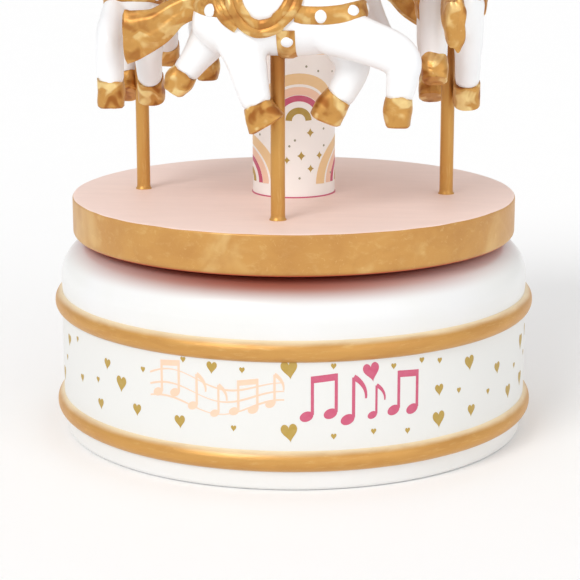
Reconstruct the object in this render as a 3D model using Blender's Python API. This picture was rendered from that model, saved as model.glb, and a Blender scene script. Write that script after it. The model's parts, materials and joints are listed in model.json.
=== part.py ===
"""Carousel music box: a wind-up movement in a round base turns a platform with four horses and a canopy.

Metres, +Z up. The origin is the middle of the base's underside, and the spindle is the Z axis.
The front horse stands at -Y and runs towards +X.
"""

import math

import bmesh
import bpy
from mathutils import Matrix, Vector

# --- driving dimensions ----------------------------------------------------------------------------------
GAP = 0.0003  # between pieces that touch or that are fixed in one another

CASE_RADIUS = 0.0560  # wall of the printed band
CASE_HEIGHT = 0.0460
CASE_WALL = 0.0045
CASE_TOP_WALL = 0.0050
FOOT_INSET = 0.0006  # how far the lowest edge stands in from the wall
FOOT_ROUNDING = 0.0012
SHOULDER_RADIUS = 0.0086
BEAD_RADIUS = 0.0026
BEAD_STANDS_OUT = 0.0016
LOWER_BEAD_Z = 0.0070
UPPER_BEAD_Z = 0.0317
FILM = 0.0004  # thickness of the printed wraps

COVER_Z = 0.0135  # underside of the recessed bottom cover
COVER_THICKNESS = 0.0025
BOSS_INSET = 0.0075  # middle of a screw boss, in from the bore
BOSS_RADIUS = 0.0036
BOSS_ANGLES = (60, 180, 300)

PLATFORM_RADIUS = 0.0529
PLATFORM_THICKNESS = 0.0095
PLATFORM_LIFT = 0.0012  # clear space between the base and the platform
COLUMN_RADIUS = 0.0098
POLE_RADIUS = 0.0016
POLE_CIRCLE = 0.0365
POLE_DEPTH = 0.0050  # how far a pole goes into the platform
POLE_TOP_DEPTH = 0.0015  # and into the ceiling board
HORSE_LIFT = 0.0359  # belly above the platform
POLES = {"front": 270, "right": 0, "back": 90, "left": 180}

COLUMN_HEIGHT = 0.0773  # from the platform to the ceiling board
CEILING_THICKNESS = 0.0030
CANOPY_RADIUS = 0.0500
VALANCE_THICKNESS = 0.0030
VALANCE_RISE = 0.0060  # top of the valance above the underside of the ceiling board
VALANCE_DROP = 0.0085
SCALLOPS = 12
SCALLOP_DEPTH = 0.0035
ROOF_OVERHANG = 0.0010
ROOF_HEIGHT = 0.0280
ROOF_WALL = 0.0020
ROOF_RIM_HEIGHT = 0.0030
ROOF_NECK = 0.0050
FINIAL_BALL = 0.0045
FINIAL_SPIGOT = 0.0016

SPINDLE_RADIUS = 0.0020
BUSH_WALL = 0.0018
BUSH_FLANGE = 0.0026
NUT_RADIUS = 0.0042
NUT_HEIGHT = 0.0030

BEDPLATE_THICKNESS = 0.0020
BARREL_RADIUS = 0.0110
BARREL_WALL = 0.0010
BARREL_HEIGHT = 0.0114
BARREL_LIFT = 0.0025  # underside of the barrel gear above the bedplate
BARREL_GEAR_THICKNESS = 0.0014
SPRING_STRIP = 0.0005
SPRING_TURNS = 4
ARBOR_RADIUS = 0.0015
ARBOR_HUB = 0.0030

CROWN_TEETH = 36
CROWN_CLEARANCE = 0.0022  # between the barrel and the crown of teeth
CROWN_WIDTH = 0.0018
CROWN_TOOTH_HEIGHT = 0.0016
PINION_TEETH = 9
CYLINDER_RADIUS = 0.0063
PIN_HEIGHT = 0.0006
CYLINDER_LENGTH = 0.0140
NOTES = 18
CYLINDER_GEAR_TEETH = 28
GOVERNOR_PINION_TEETH = 8
GOVERNOR_MODULE = 0.00048
WORM_WHEEL_TEETH = 16
WORM_MODULE = 0.00050
WORM_STARTS = 2
WORM_RADIUS = 0.0017
TOOTH_SHARE = 0.36  # of the pitch, so that the teeth run free
WHEEL_WIDTH = 0.0016
FAN_RADIUS = 0.0042
FAN_HEIGHT = 0.0034
WORM_HALF_LENGTH = 0.0036

COMB_THICKNESS = 0.0008
COMB_TOOTH_LENGTH = 0.0072
LUG_HALF_WIDTH = 0.0026

KEY_LOW = 0.0015
KEY_WING_TOP = 0.0090
KEY_WIDTH = 0.0240
KEY_THICKNESS = 0.0018
KEY_HUB = 0.0029
ARBOR_IN_KEY = 0.0040

COVER_SCREW = {"head": 0.0024, "head_height": 0.0013, "shank": 0.0010, "length": 0.0100}
PLATE_SCREW = {"head": 0.0018, "head_height": 0.0010, "shank": 0.0008, "length": 0.0040}
CANOPY_SCREW = {"head": 0.0030, "head_height": 0.0015, "shank": 0.0014, "length": 0.0150}
SCREW_SLOT = 0.0006

ROUND = 40  # steps round a large turned piece
SMALL_ROUND = 16
SCREW_STEPS = 10
HORSE_VOXEL = 0.0008
HORSE_FACE_SHARE = 0.045
LIMB_SIDES = 12

# --- places worked out from them -------------------------------------------------------------------------
CASE_BORE = CASE_RADIUS - CASE_WALL
FOOT_RADIUS = CASE_RADIUS - FOOT_INSET
BOSS_CIRCLE = CASE_BORE - BOSS_INSET
CROWN_INNER = BARREL_RADIUS + CROWN_CLEARANCE
CROWN_OUTER = CROWN_INNER + CROWN_WIDTH
CEILING_INSIDE = CASE_HEIGHT - CASE_TOP_WALL
COVER_TOP = COVER_Z + COVER_THICKNESS
BEDPLATE_Z = COVER_TOP + GAP
BEDPLATE_TOP = BEDPLATE_Z + BEDPLATE_THICKNESS
BARREL_GEAR_Z = BEDPLATE_TOP + BARREL_LIFT
BARREL_GEAR_TOP = BARREL_GEAR_Z + BARREL_GEAR_THICKNESS
BARREL_Z = BARREL_GEAR_TOP + GAP
BARREL_TOP = BARREL_Z + BARREL_HEIGHT
PLATFORM_Z = CASE_HEIGHT + PLATFORM_LIFT
PLATFORM_TOP = PLATFORM_Z + PLATFORM_THICKNESS
CEILING_Z = PLATFORM_TOP + COLUMN_HEIGHT
VALANCE_TOP_Z = CEILING_Z + VALANCE_RISE
CROWN_PITCH_RADIUS = (CROWN_INNER + CROWN_OUTER) / 2
PINION_PITCH_RADIUS = CROWN_PITCH_RADIUS * PINION_TEETH / CROWN_TEETH
CYLINDER_Z = BARREL_GEAR_TOP + CROWN_TOOTH_HEIGHT / 2 + PINION_PITCH_RADIUS
CYLINDER_GEAR_RADIUS = GOVERNOR_MODULE * CYLINDER_GEAR_TEETH / 2
GOVERNOR_PINION_RADIUS = GOVERNOR_MODULE * GOVERNOR_PINION_TEETH / 2
GOVERNOR_Y = CYLINDER_GEAR_RADIUS + GOVERNOR_PINION_RADIUS
WORM_WHEEL_RADIUS = WORM_MODULE * WORM_WHEEL_TEETH / 2
WORM_Y = GOVERNOR_Y + WORM_WHEEL_RADIUS + WORM_RADIUS

LUG_THICKNESS = 0.0012
LUG_X = CROWN_OUTER + 0.0010
CYLINDER_X = LUG_X + LUG_THICKNESS + 0.0008
CYLINDER_GEAR_X = CYLINDER_X + CYLINDER_LENGTH + 0.0008
BRACKET_X = CYLINDER_GEAR_X + WHEEL_WIDTH + 0.0006
WORM_X = BRACKET_X + LUG_THICKNESS + WORM_RADIUS + 0.0010
BRACKET_END_X = WORM_X + WORM_RADIUS + 0.0010
CYLINDER_ARBOR_RADIUS = 0.0009
GOVERNOR_ARBOR_RADIUS = 0.0006
FAN_LOW = CYLINDER_Z + 0.0070 + 0.0008
FAN_TOP = FAN_LOW + FAN_HEIGHT
COMB_REACH = CYLINDER_RADIUS + PIN_HEIGHT + GAP


def material(name, colour, roughness, metallic):
    made = bpy.data.materials.get(name)
    if made is None:
        made = bpy.data.materials.new(name)
        made.use_nodes = True
        shader = made.node_tree.nodes["Principled BSDF"]
        shader.inputs["Base Color"].default_value = (*colour, 1.0)
        shader.inputs["Roughness"].default_value = roughness
        shader.inputs["Metallic"].default_value = metallic
        made.diffuse_color = (*colour, 1.0)
    return made


def white_lacquer():
    return material("white_lacquer", (0.92, 0.91, 0.90), 0.35, 0.0)


def pink_lacquer():
    return material("pink_lacquer", (0.87, 0.66, 0.62), 0.45, 0.0)


def gold_paint():
    return material("gold_paint", (0.72, 0.45, 0.16), 0.35, 0.8)


def printed_film():
    return material("printed_film", (0.93, 0.90, 0.88), 0.40, 0.0)


def brass():
    return material("brass", (0.78, 0.60, 0.30), 0.30, 1.0)


def steel():
    return material("steel", (0.62, 0.62, 0.64), 0.28, 1.0)


def zinc_casting():
    return material("zinc_casting", (0.55, 0.56, 0.58), 0.45, 0.9)


def black_board():
    return material("black_board", (0.05, 0.05, 0.05), 0.80, 0.0)


def white_nylon():
    return material("white_nylon", (0.90, 0.90, 0.87), 0.40, 0.0)


# --- mesh helpers ----------------------------------------------------------------------------------------
def place(name, bm, finish, location=(0, 0, 0), rotation=(0, 0, 0), smooth=True):
    """Turns a bmesh into a named object with its finish."""
    bmesh.ops.recalc_face_normals(bm, faces=bm.faces)
    mesh = bpy.data.meshes.new(name)
    bm.to_mesh(mesh)
    bm.free()
    if smooth:
        mesh.shade_smooth()
        mesh.set_sharp_from_angle(angle=math.radians(35))
    mesh.materials.append(finish)
    made = bpy.data.objects.new(name, mesh)
    made.location = location
    made.rotation_euler = rotation
    bpy.context.scene.collection.objects.link(made)
    return made


def turned_bmesh(profile, steps, ring):
    """A profile of (radius, z) points turned about Z. A ring's profile is a closed loop off the axis."""
    bm = bmesh.new()
    corners = [bm.verts.new((r, 0, z)) for r, z in profile]
    edges = [bm.edges.new(pair) for pair in zip(corners, corners[1:])]
    if ring:
        edges.append(bm.edges.new((corners[-1], corners[0])))
    bmesh.ops.spin(
        bm,
        geom=corners + edges,
        cent=(0, 0, 0),
        axis=(0, 0, 1),
        angle=math.tau,
        steps=steps,
        use_merge=True,
    )
    bmesh.ops.remove_doubles(bm, verts=bm.verts, dist=1e-7)
    return bm


def turned(name, profile, finish, steps=ROUND, ring=False, **where):
    return place(name, turned_bmesh(profile, steps, ring), finish, **where)


def arc(centre_r, centre_z, radius, start, end, steps):
    """Profile points on an arc, angles in degrees from the +r direction."""
    turn = [math.radians(start + (end - start) * k / steps) for k in range(steps + 1)]
    return [(centre_r + radius * math.cos(a), centre_z + radius * math.sin(a)) for a in turn]


def prism_bmesh(outline, low, high):
    """An outline of (x, y) points raised from low to high."""
    bm = bmesh.new()
    face = bm.faces.new([bm.verts.new((x, y, low)) for x, y in outline])
    raised = bmesh.ops.extrude_face_region(bm, geom=[face])["geom"]
    top = [v for v in raised if isinstance(v, bmesh.types.BMVert)]
    bmesh.ops.translate(bm, verts=top, vec=(0, 0, high - low))
    return bm


def prism(name, outline, low, high, finish, **where):
    return place(name, prism_bmesh(outline, low, high), finish, **where)


def block_bmesh(low, high):
    """A box between two corners."""
    bm = bmesh.new()
    bmesh.ops.create_cube(bm, size=1.0)
    low, high = Vector(low), Vector(high)
    size = high - low
    bmesh.ops.scale(bm, verts=bm.verts, vec=size)
    bmesh.ops.translate(bm, verts=bm.verts, vec=(low + high) / 2)
    return bm


def rod_bmesh(radius, low, high, steps=SMALL_ROUND):
    bm = bmesh.new()
    bmesh.ops.create_cone(
        bm,
        cap_ends=True,
        segments=steps,
        radius1=radius,
        radius2=radius,
        depth=high - low,
        matrix=Matrix.Translation((0, 0, (low + high) / 2)),
    )
    return bm


def helper(name, bm, location=(0, 0, 0), rotation=(0, 0, 0)):
    """A cutter or a part of a union: it isn't a piece of the object."""
    made = place(name, bm, white_lacquer(), location, rotation)
    made.hide_render = True
    made.display_type = "WIRE"
    return made


def combine(made, operation, tools):
    """Adds one Boolean for each tool."""
    for tool in tools:
        change = made.modifiers.new(tool.name, "BOOLEAN")
        change.operation = operation
        change.solver = "EXACT"
        change.object = tool
    return made


def cut(made, *tools):
    return combine(made, "DIFFERENCE", tools)


def join(made, *tools):
    return combine(made, "UNION", tools)


def on_circle(radius, degrees):
    return radius * math.cos(math.radians(degrees)), radius * math.sin(math.radians(degrees))


ALONG_X = (0, math.pi / 2, 0)  # turns a piece that is built along Z to lie along X


# --- base ------------------------------------------------------------------------------------------------
def bead(z):
    """The half-round bead that stands out of the wall at this height, from its lower to its upper foot."""
    centre = CASE_RADIUS + BEAD_STANDS_OUT - BEAD_RADIUS
    foot = math.degrees(math.acos((CASE_RADIUS - centre) / BEAD_RADIUS))
    return arc(centre, z, BEAD_RADIUS, -foot, foot, 5)


def base_casing():
    seat = CASE_RADIUS - FILM - GAP
    shoulder_r = CASE_RADIUS - SHOULDER_RADIUS
    shoulder_z = CASE_HEIGHT - SHOULDER_RADIUS
    bore = SPINDLE_RADIUS + GAP + BUSH_WALL + GAP
    outline = [(CASE_BORE, 0.0)]
    outline += arc(FOOT_RADIUS - FOOT_ROUNDING, FOOT_ROUNDING, FOOT_ROUNDING, -90, 0, 2)
    outline += bead(LOWER_BEAD_Z)
    outline += [(seat, LOWER_BEAD_Z + BEAD_RADIUS), (seat, UPPER_BEAD_Z - BEAD_RADIUS)]
    outline += bead(UPPER_BEAD_Z)
    outline += arc(shoulder_r, shoulder_z, SHOULDER_RADIUS, 0, 90, 5)
    outline += [(bore, CASE_HEIGHT), (bore, CEILING_INSIDE), (CASE_BORE, CEILING_INSIDE)]
    casing = turned("base_casing", outline, white_lacquer(), ring=True)
    for k, angle in enumerate(BOSS_ANGLES, 1):
        x, y = on_circle(BOSS_CIRCLE, angle)
        boss = rod_bmesh(BOSS_RADIUS, COVER_TOP + GAP, CEILING_INSIDE + CASE_TOP_WALL / 2)
        join(casing, helper(f"cover_boss_{k}", boss, (x, y, 0)))
        hole = rod_bmesh(COVER_SCREW["shank"] + GAP, COVER_Z, COVER_Z + COVER_SCREW["length"] + 0.001)
        cut(casing, helper(f"boss_hole_{k}", hole, (x, y, 0)))
    return casing


def base_print_band():
    inner = CASE_RADIUS - FILM
    low = LOWER_BEAD_Z + BEAD_RADIUS + GAP
    high = UPPER_BEAD_Z - BEAD_RADIUS - GAP
    outline = [(inner, low), (CASE_RADIUS, low), (CASE_RADIUS, high), (inner, high)]
    return turned("base_print_band", outline, printed_film(), ring=True)


def spindle_bush():
    bore = SPINDLE_RADIUS + GAP
    outer = bore + BUSH_WALL
    flange_low = CASE_HEIGHT + GAP
    flange_high = PLATFORM_Z - GAP
    outline = [
        (bore, CEILING_INSIDE),
        (outer, CEILING_INSIDE),
        (outer, flange_low),
        (outer + BUSH_FLANGE, flange_low),
        (outer + BUSH_FLANGE, flange_high),
        (bore, flange_high),
    ]
    return turned("spindle_bush", outline, brass(), steps=SMALL_ROUND, ring=True)


# --- screws ----------------------------------------------------------------------------------------------


def screw_mesh(kind, slot_name):
    """A slotted screw: its head stands on z = 0 and its shank points down, in the screw's own frame."""
    head, height, shank, length = (kind[k] for k in ("head", "head_height", "shank", "length"))
    profile = [
        (0, -length),
        (shank, -length + shank / 2),
        (shank, 0),
        (head, 0),
        (head, height * 0.6),
        (head * 0.7, height),
        (0, height),
    ]
    blank = turned(slot_name + "_blank", profile, steel(), steps=SCREW_STEPS)
    slot = block_bmesh((-head, -SCREW_SLOT / 2, height * 0.55), (head, SCREW_SLOT / 2, height * 2))
    slot_tool = helper(slot_name, slot)
    cut(blank, slot_tool)
    bpy.context.view_layer.update()
    evaluated = blank.evaluated_get(bpy.context.evaluated_depsgraph_get())
    mesh = bpy.data.meshes.new_from_object(evaluated)
    for spare in (blank, slot_tool):
        bpy.data.objects.remove(spare)
    return mesh


def screw(name, mesh, location, upside_down=False, turn=0.0):
    made = bpy.data.objects.new(name, mesh)
    made.location = location
    made.rotation_euler = (math.pi if upside_down else 0.0, 0.0, turn)
    bpy.context.scene.collection.objects.link(made)
    return made


def bedplate_screw_places():
    """Where the bedplate is held down on the cover."""
    return [
        (-BARREL_RADIUS, COMB_SEAT_Y + 0.0030),
        (-BARREL_RADIUS, BEDPLATE_BACK - 0.0035),
        (BRACKET_END_X, COMB_SEAT_Y + 0.0030),
    ]


def comb_screw_places():
    """The comb's two screws, a quarter of the comb in from each end."""
    return [(CYLINDER_X + CYLINDER_LENGTH * share, COMB_SEAT_Y + 0.0030) for share in (0.25, 0.75)]


# --- bottom cover ----------------------------------------------------------------------------------------
def bottom_cover():
    cover = turned(
        "bottom_cover",
        [(0, COVER_Z), (CASE_BORE - GAP, COVER_Z), (CASE_BORE - GAP, COVER_TOP), (0, COVER_TOP)],
        black_board(),
    )
    below, above = COVER_Z - 0.001, COVER_TOP + 0.001
    arbor_hole = rod_bmesh(ARBOR_RADIUS + 0.0015, below, above)
    cut(cover, helper("cover_arbor_hole", arbor_hole))
    for k, angle in enumerate(BOSS_ANGLES, 1):
        x, y = on_circle(BOSS_CIRCLE, angle)
        hole = rod_bmesh(COVER_SCREW["shank"] + GAP, below, above, SCREW_STEPS)
        cut(cover, helper(f"cover_hole_{k}", hole, (x, y, 0)))
    for k, (x, y) in enumerate(bedplate_screw_places(), 1):
        hole = rod_bmesh(PLATE_SCREW["shank"] + GAP, below, above, SCREW_STEPS)
        cut(cover, helper(f"cover_plate_hole_{k}", hole, (x, y, 0)))
    return cover


def cover_screws():
    mesh = screw_mesh(COVER_SCREW, "cover_screw_slot")
    for k, angle in enumerate(BOSS_ANGLES, 1):
        x, y = on_circle(BOSS_CIRCLE, angle)
        screw(f"cover_screw_{k}", mesh, (x, y, COVER_Z - GAP), upside_down=True, turn=math.radians(angle))


def plate_screws():
    """Small screws: three hold the movement to the cover, two hold the comb and one the governor."""
    mesh = screw_mesh(PLATE_SCREW, "plate_screw_slot")
    for k, (x, y) in enumerate(bedplate_screw_places(), 1):
        screw(f"movement_screw_{k}", mesh, (x, y, COVER_Z - GAP), upside_down=True, turn=k)
    for k, (x, y) in enumerate(comb_screw_places(), 1):
        screw(f"comb_screw_{k}", mesh, (x, y, COMB_TOP + GAP), turn=k * 0.7)
    x, y = governor_screw_place()
    screw("governor_screw", mesh, (x, y, BRACKET_FOOT_TOP + GAP), turn=0.4)


# --- movement: what stands still -------------------------------------------------------------------------
COMB_SEAT_Y = -0.0225  # outer edge of the comb and of its seat
COMB_SEAT_TOP = CYLINDER_Z - COMB_THICKNESS / 2 - GAP
COMB_TOP = CYLINDER_Z + COMB_THICKNESS / 2
BEDPLATE_BACK = WORM_Y + 0.0042
BRACKET_FOOT_TOP = BEDPLATE_TOP + GAP + LUG_THICKNESS


def governor_screw_place():
    return (WORM_X, GOVERNOR_Y - WORM_WHEEL_RADIUS - 0.0010)


def movement_bedplate():
    left, right = -BARREL_RADIUS - 0.0045, BRACKET_END_X + LUG_THICKNESS + 0.0012
    front, back, corner = COMB_SEAT_Y, BEDPLATE_BACK, 0.0040
    outline = [
        (left + corner, front),
        (right - corner, front),
        (right, front + corner),
        (right, back),
        (left + corner, back),
        (left, back - corner),
        (left, front + corner),
    ]
    plate = prism("movement_bedplate", outline, BEDPLATE_Z, BEDPLATE_TOP, zinc_casting())
    middle = BEDPLATE_Z + BEDPLATE_THICKNESS / 2
    comb_base = CYLINDER_LENGTH + 0.0010
    seat_back = -COMB_REACH - COMB_TOOTH_LENGTH
    seat_x = CYLINDER_X - 0.0005
    seat = block_bmesh((seat_x, front + 0.0002, middle), (seat_x + comb_base, seat_back, COMB_SEAT_TOP))
    lug_top = CYLINDER_Z + CYLINDER_ARBOR_RADIUS + 0.0020
    lug = block_bmesh((LUG_X, -LUG_HALF_WIDTH, middle), (LUG_X + LUG_THICKNESS, LUG_HALF_WIDTH, lug_top))
    join(plate, helper("comb_seat", seat), helper("cylinder_lug", lug))
    below, above = BEDPLATE_Z - 0.001, BEDPLATE_TOP + 0.001
    cut(plate, helper("bedplate_arbor_hole", rod_bmesh(ARBOR_RADIUS + GAP, below, above)))
    pivot = rod_bmesh(CYLINDER_ARBOR_RADIUS + GAP, LUG_X - 0.001, LUG_X + LUG_THICKNESS + 0.001, SCREW_STEPS)
    cut(plate, helper("cylinder_pivot_hole", pivot, (0, 0, CYLINDER_Z), ALONG_X))
    hole_radius = PLATE_SCREW["shank"] + GAP
    for k, (x, y) in enumerate(bedplate_screw_places(), 1):
        hole = rod_bmesh(hole_radius, below, above, SCREW_STEPS)
        cut(plate, helper(f"bedplate_hole_{k}", hole, (x, y, 0)))
    for k, (x, y) in enumerate(comb_screw_places(), 1):
        foot = COMB_SEAT_TOP - PLATE_SCREW["length"]
        hole = rod_bmesh(hole_radius, foot, COMB_SEAT_TOP + 0.001, SCREW_STEPS)
        cut(plate, helper(f"comb_hole_{k}", hole, (x, y, 0)))
    x, y = governor_screw_place()
    hole = rod_bmesh(hole_radius, below, above, SCREW_STEPS)
    cut(plate, helper("bedplate_governor_hole", hole, (x, y, 0)))
    return plate


def tone_comb():
    """A steel comb: its teeth, one for each note, reach to just short of the cylinder's pins."""
    start = CYLINDER_X + 0.0002
    pitch = (CYLINDER_LENGTH - 0.0004) / NOTES
    tooth = pitch * 0.6
    root = -COMB_REACH - COMB_TOOTH_LENGTH
    outline = [(start, COMB_SEAT_Y + 0.0004), (start + pitch * NOTES, COMB_SEAT_Y + 0.0004)]
    for k in reversed(range(NOTES)):
        left = start + pitch * (k + 0.5) - tooth / 2
        right = left + tooth
        outline += [(right, root), (right, -COMB_REACH), (left, -COMB_REACH), (left, root)]
    comb = prism("tone_comb", outline, COMB_TOP - COMB_THICKNESS, COMB_TOP, steel(), smooth=False)
    for k, (x, y) in enumerate(comb_screw_places(), 1):
        hole = rod_bmesh(PLATE_SCREW["shank"] + GAP, COMB_TOP - 0.003, COMB_TOP + 0.001, SCREW_STEPS)
        cut(comb, helper(f"comb_screw_hole_{k}", hole, (x, y, 0)))
    return comb


def governor_bracket():
    """A bent plate that carries the cylinder's far end, the governor's arbor and the upright worm."""
    low, foot_top = BEDPLATE_TOP + GAP, BRACKET_FOOT_TOP
    top = CYLINDER_Z + 0.0070
    back = WORM_Y + 0.0026
    inner, outer = BRACKET_X, BRACKET_END_X + LUG_THICKNESS
    foot = block_bmesh((inner, -LUG_HALF_WIDTH, low), (outer, back, foot_top))
    bracket = place("governor_bracket", foot, zinc_casting())
    overlap = LUG_THICKNESS / 2
    arm_front = WORM_Y - 0.0022
    cheek_low = foot_top - overlap
    pivot_top = CYLINDER_Z + 0.0026
    near = block_bmesh((inner, -LUG_HALF_WIDTH, cheek_low), (inner + LUG_THICKNESS, back, pivot_top))
    post = block_bmesh((inner, arm_front, cheek_low), (inner + LUG_THICKNESS, back, top))
    far_front = GOVERNOR_Y - LUG_HALF_WIDTH
    far = block_bmesh((BRACKET_END_X, far_front, cheek_low), (outer, back, pivot_top))
    far_post = block_bmesh((BRACKET_END_X, arm_front, cheek_low), (outer, back, top))
    arm = block_bmesh((inner, arm_front, top - LUG_THICKNESS), (outer, back, top))
    parts = {"near_cheek": near, "near_post": post, "far_cheek": far, "far_post": far_post, "worm_arm": arm}
    join(bracket, *[helper(name, bm) for name, bm in parts.items()])
    long = (inner - 0.001, outer + 0.001)
    near_only = (inner - 0.001, inner + LUG_THICKNESS + 0.001)
    worm = (WORM_X, WORM_Y, 0)
    holes = {
        "cylinder_end_hole": (CYLINDER_ARBOR_RADIUS, near_only, (0, 0, CYLINDER_Z), ALONG_X),
        "governor_arbor_holes": (GOVERNOR_ARBOR_RADIUS, long, (0, GOVERNOR_Y, CYLINDER_Z), ALONG_X),
        "worm_pivot_top": (GOVERNOR_ARBOR_RADIUS, (top - 0.003, top + 0.001), worm, (0, 0, 0)),
        "worm_pivot_foot": (GOVERNOR_ARBOR_RADIUS, (low + 0.0004, foot_top + 0.001), worm, (0, 0, 0)),
    }
    for name, (radius, (start, end), where, turn) in holes.items():
        cut(bracket, helper(name, rod_bmesh(radius + GAP, start, end, SCREW_STEPS), where, turn))
    x, y = governor_screw_place()
    screw_hole = rod_bmesh(PLATE_SCREW["shank"] + GAP, low - 0.001, foot_top + 0.001, SCREW_STEPS)
    cut(bracket, helper("bracket_screw_hole", screw_hole, (x, y, 0)))
    return bracket


def coil_bmesh(radius, wire, turns, low, rise, steps_per_turn=10, sides=5):
    """A closed helical wire about Z."""
    bm = bmesh.new()
    rings = []
    for k in range(int(turns * steps_per_turn) + 1):
        turn = math.tau * k / steps_per_turn
        centre = Vector((radius * math.cos(turn), radius * math.sin(turn), low + rise * turn / math.tau))
        outward = Vector((math.cos(turn), math.sin(turn), 0))
        ring = []
        for s in range(sides):
            a = math.tau * s / sides
            ring.append(bm.verts.new(centre + wire * (outward * math.cos(a) + Vector((0, 0, math.sin(a))))))
        rings.append(ring)
    for one, two in zip(rings, rings[1:]):
        for s in range(sides):
            t = (s + 1) % sides
            bm.faces.new((one[s], one[t], two[t], two[s]))
    bm.faces.new(rings[0][::-1])
    bm.faces.new(rings[-1])
    return bm


def clutch_coil():
    """A wire wrapped round the winding arbor: it lets the key turn one way only."""
    wire = 0.00026
    space = BARREL_LIFT - 2 * GAP - 2 * wire
    bm = coil_bmesh(ARBOR_RADIUS + GAP + wire, wire, 3, BEDPLATE_TOP + GAP + wire, space / 3)
    return place("clutch_coil", bm, steel())


# --- movement: the barrel and what turns with it ---------------------------------------------------------
def drive_spindle():
    """A shaft on a plate on the barrel. A shoulder carries the platform and a nut holds it down."""
    plate_low = BARREL_TOP + GAP
    plate_high = plate_low + 0.0015
    plate_radius = BARREL_RADIUS * 0.6
    end = PLATFORM_TOP + GAP + NUT_HEIGHT + 0.0015
    profile = [
        (0, plate_low),
        (plate_radius, plate_low),
        (plate_radius, plate_high),
        (SPINDLE_RADIUS, plate_high),
        (SPINDLE_RADIUS, end - 0.0005),
        (SPINDLE_RADIUS - 0.0005, end),
        (0, end),
    ]
    return turned("drive_spindle", profile, steel(), steps=SMALL_ROUND)


def spring_barrel():
    inner = BARREL_RADIUS - BARREL_WALL
    lid = BARREL_TOP - BARREL_WALL
    profile = [
        (0, lid),
        (inner, lid),
        (inner, BARREL_Z),
        (BARREL_RADIUS, BARREL_Z),
        (BARREL_RADIUS, BARREL_TOP),
        (0, BARREL_TOP),
    ]
    return turned("spring_barrel", profile, brass(), steps=24)


def barrel_gear():
    """The barrel's bottom plate, with a ring of crown teeth that stand up round the barrel."""
    bore = ARBOR_RADIUS + GAP
    outer = CROWN_OUTER + 0.0003
    profile = [(bore, BARREL_GEAR_Z), (outer, BARREL_GEAR_Z)]
    profile += [(outer, BARREL_GEAR_TOP), (bore, BARREL_GEAR_TOP)]
    plate = turned("barrel_gear", profile, brass(), steps=CROWN_TEETH, ring=True)
    bm = bmesh.new()
    pitch = math.tau / CROWN_TEETH
    foot_half = pitch * TOOTH_SHARE * 0.68
    tip_half = pitch * TOOTH_SHARE * 0.30
    low = BARREL_GEAR_TOP - BARREL_GEAR_THICKNESS / 2
    high = BARREL_GEAR_TOP + CROWN_TOOTH_HEIGHT
    for k in range(CROWN_TEETH):
        corners = []
        for half, z in ((foot_half, low), (tip_half, high)):
            for r in (CROWN_INNER, CROWN_OUTER):
                for side in (-1, 1):
                    a = k * pitch + side * half
                    corners.append(bm.verts.new((r * math.cos(a), r * math.sin(a), z)))
        in_l, in_r, out_l, out_r, top_in_l, top_in_r, top_out_l, top_out_r = corners
        bm.faces.new((in_l, in_r, out_r, out_l))
        bm.faces.new((top_in_l, top_out_l, top_out_r, top_in_r))
        bm.faces.new((in_l, out_l, top_out_l, top_in_l))
        bm.faces.new((in_r, top_in_r, top_out_r, out_r))
        bm.faces.new((in_l, top_in_l, top_in_r, in_r))
        bm.faces.new((out_l, out_r, top_out_r, top_out_l))
    return join(plate, helper("crown_teeth", bm))


def mainspring():
    """The steel strip coiled in the barrel, from the arbor's hub to the barrel's wall."""
    start = ARBOR_HUB + GAP + SPRING_STRIP / 2
    end = BARREL_RADIUS - BARREL_WALL - GAP - SPRING_STRIP / 2
    low = BARREL_Z + GAP
    high = BARREL_TOP - BARREL_WALL - GAP
    steps_per_turn = 12
    count = SPRING_TURNS * steps_per_turn
    bm = bmesh.new()
    rings = []
    for k in range(count + 1):
        a = math.tau * k / steps_per_turn
        middle = start + (end - start) * k / count
        ring = []
        for r, z in ((-1, low), (1, low), (1, high), (-1, high)):
            radius = middle + r * SPRING_STRIP / 2
            ring.append(bm.verts.new((radius * math.cos(a), radius * math.sin(a), z)))
        rings.append(ring)
    for one, two in zip(rings, rings[1:]):
        for s in range(4):
            t = (s + 1) % 4
            bm.faces.new((one[s], one[t], two[t], two[s]))
    bm.faces.new(rings[0][::-1])
    bm.faces.new(rings[-1])
    return place("mainspring", bm, steel())


# --- movement: winding -----------------------------------------------------------------------------------


def winding_arbor():
    low = COVER_Z - 0.0020 - ARBOR_IN_KEY
    hub_low = BARREL_Z + GAP
    hub_high = BARREL_TOP - BARREL_WALL - GAP
    profile = [
        (0, low),
        (ARBOR_RADIUS, low),
        (ARBOR_RADIUS, hub_low),
        (ARBOR_HUB, hub_low),
        (ARBOR_HUB, hub_high),
        (0, hub_high),
    ]
    return turned("winding_arbor", profile, steel(), steps=SMALL_ROUND)


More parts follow.
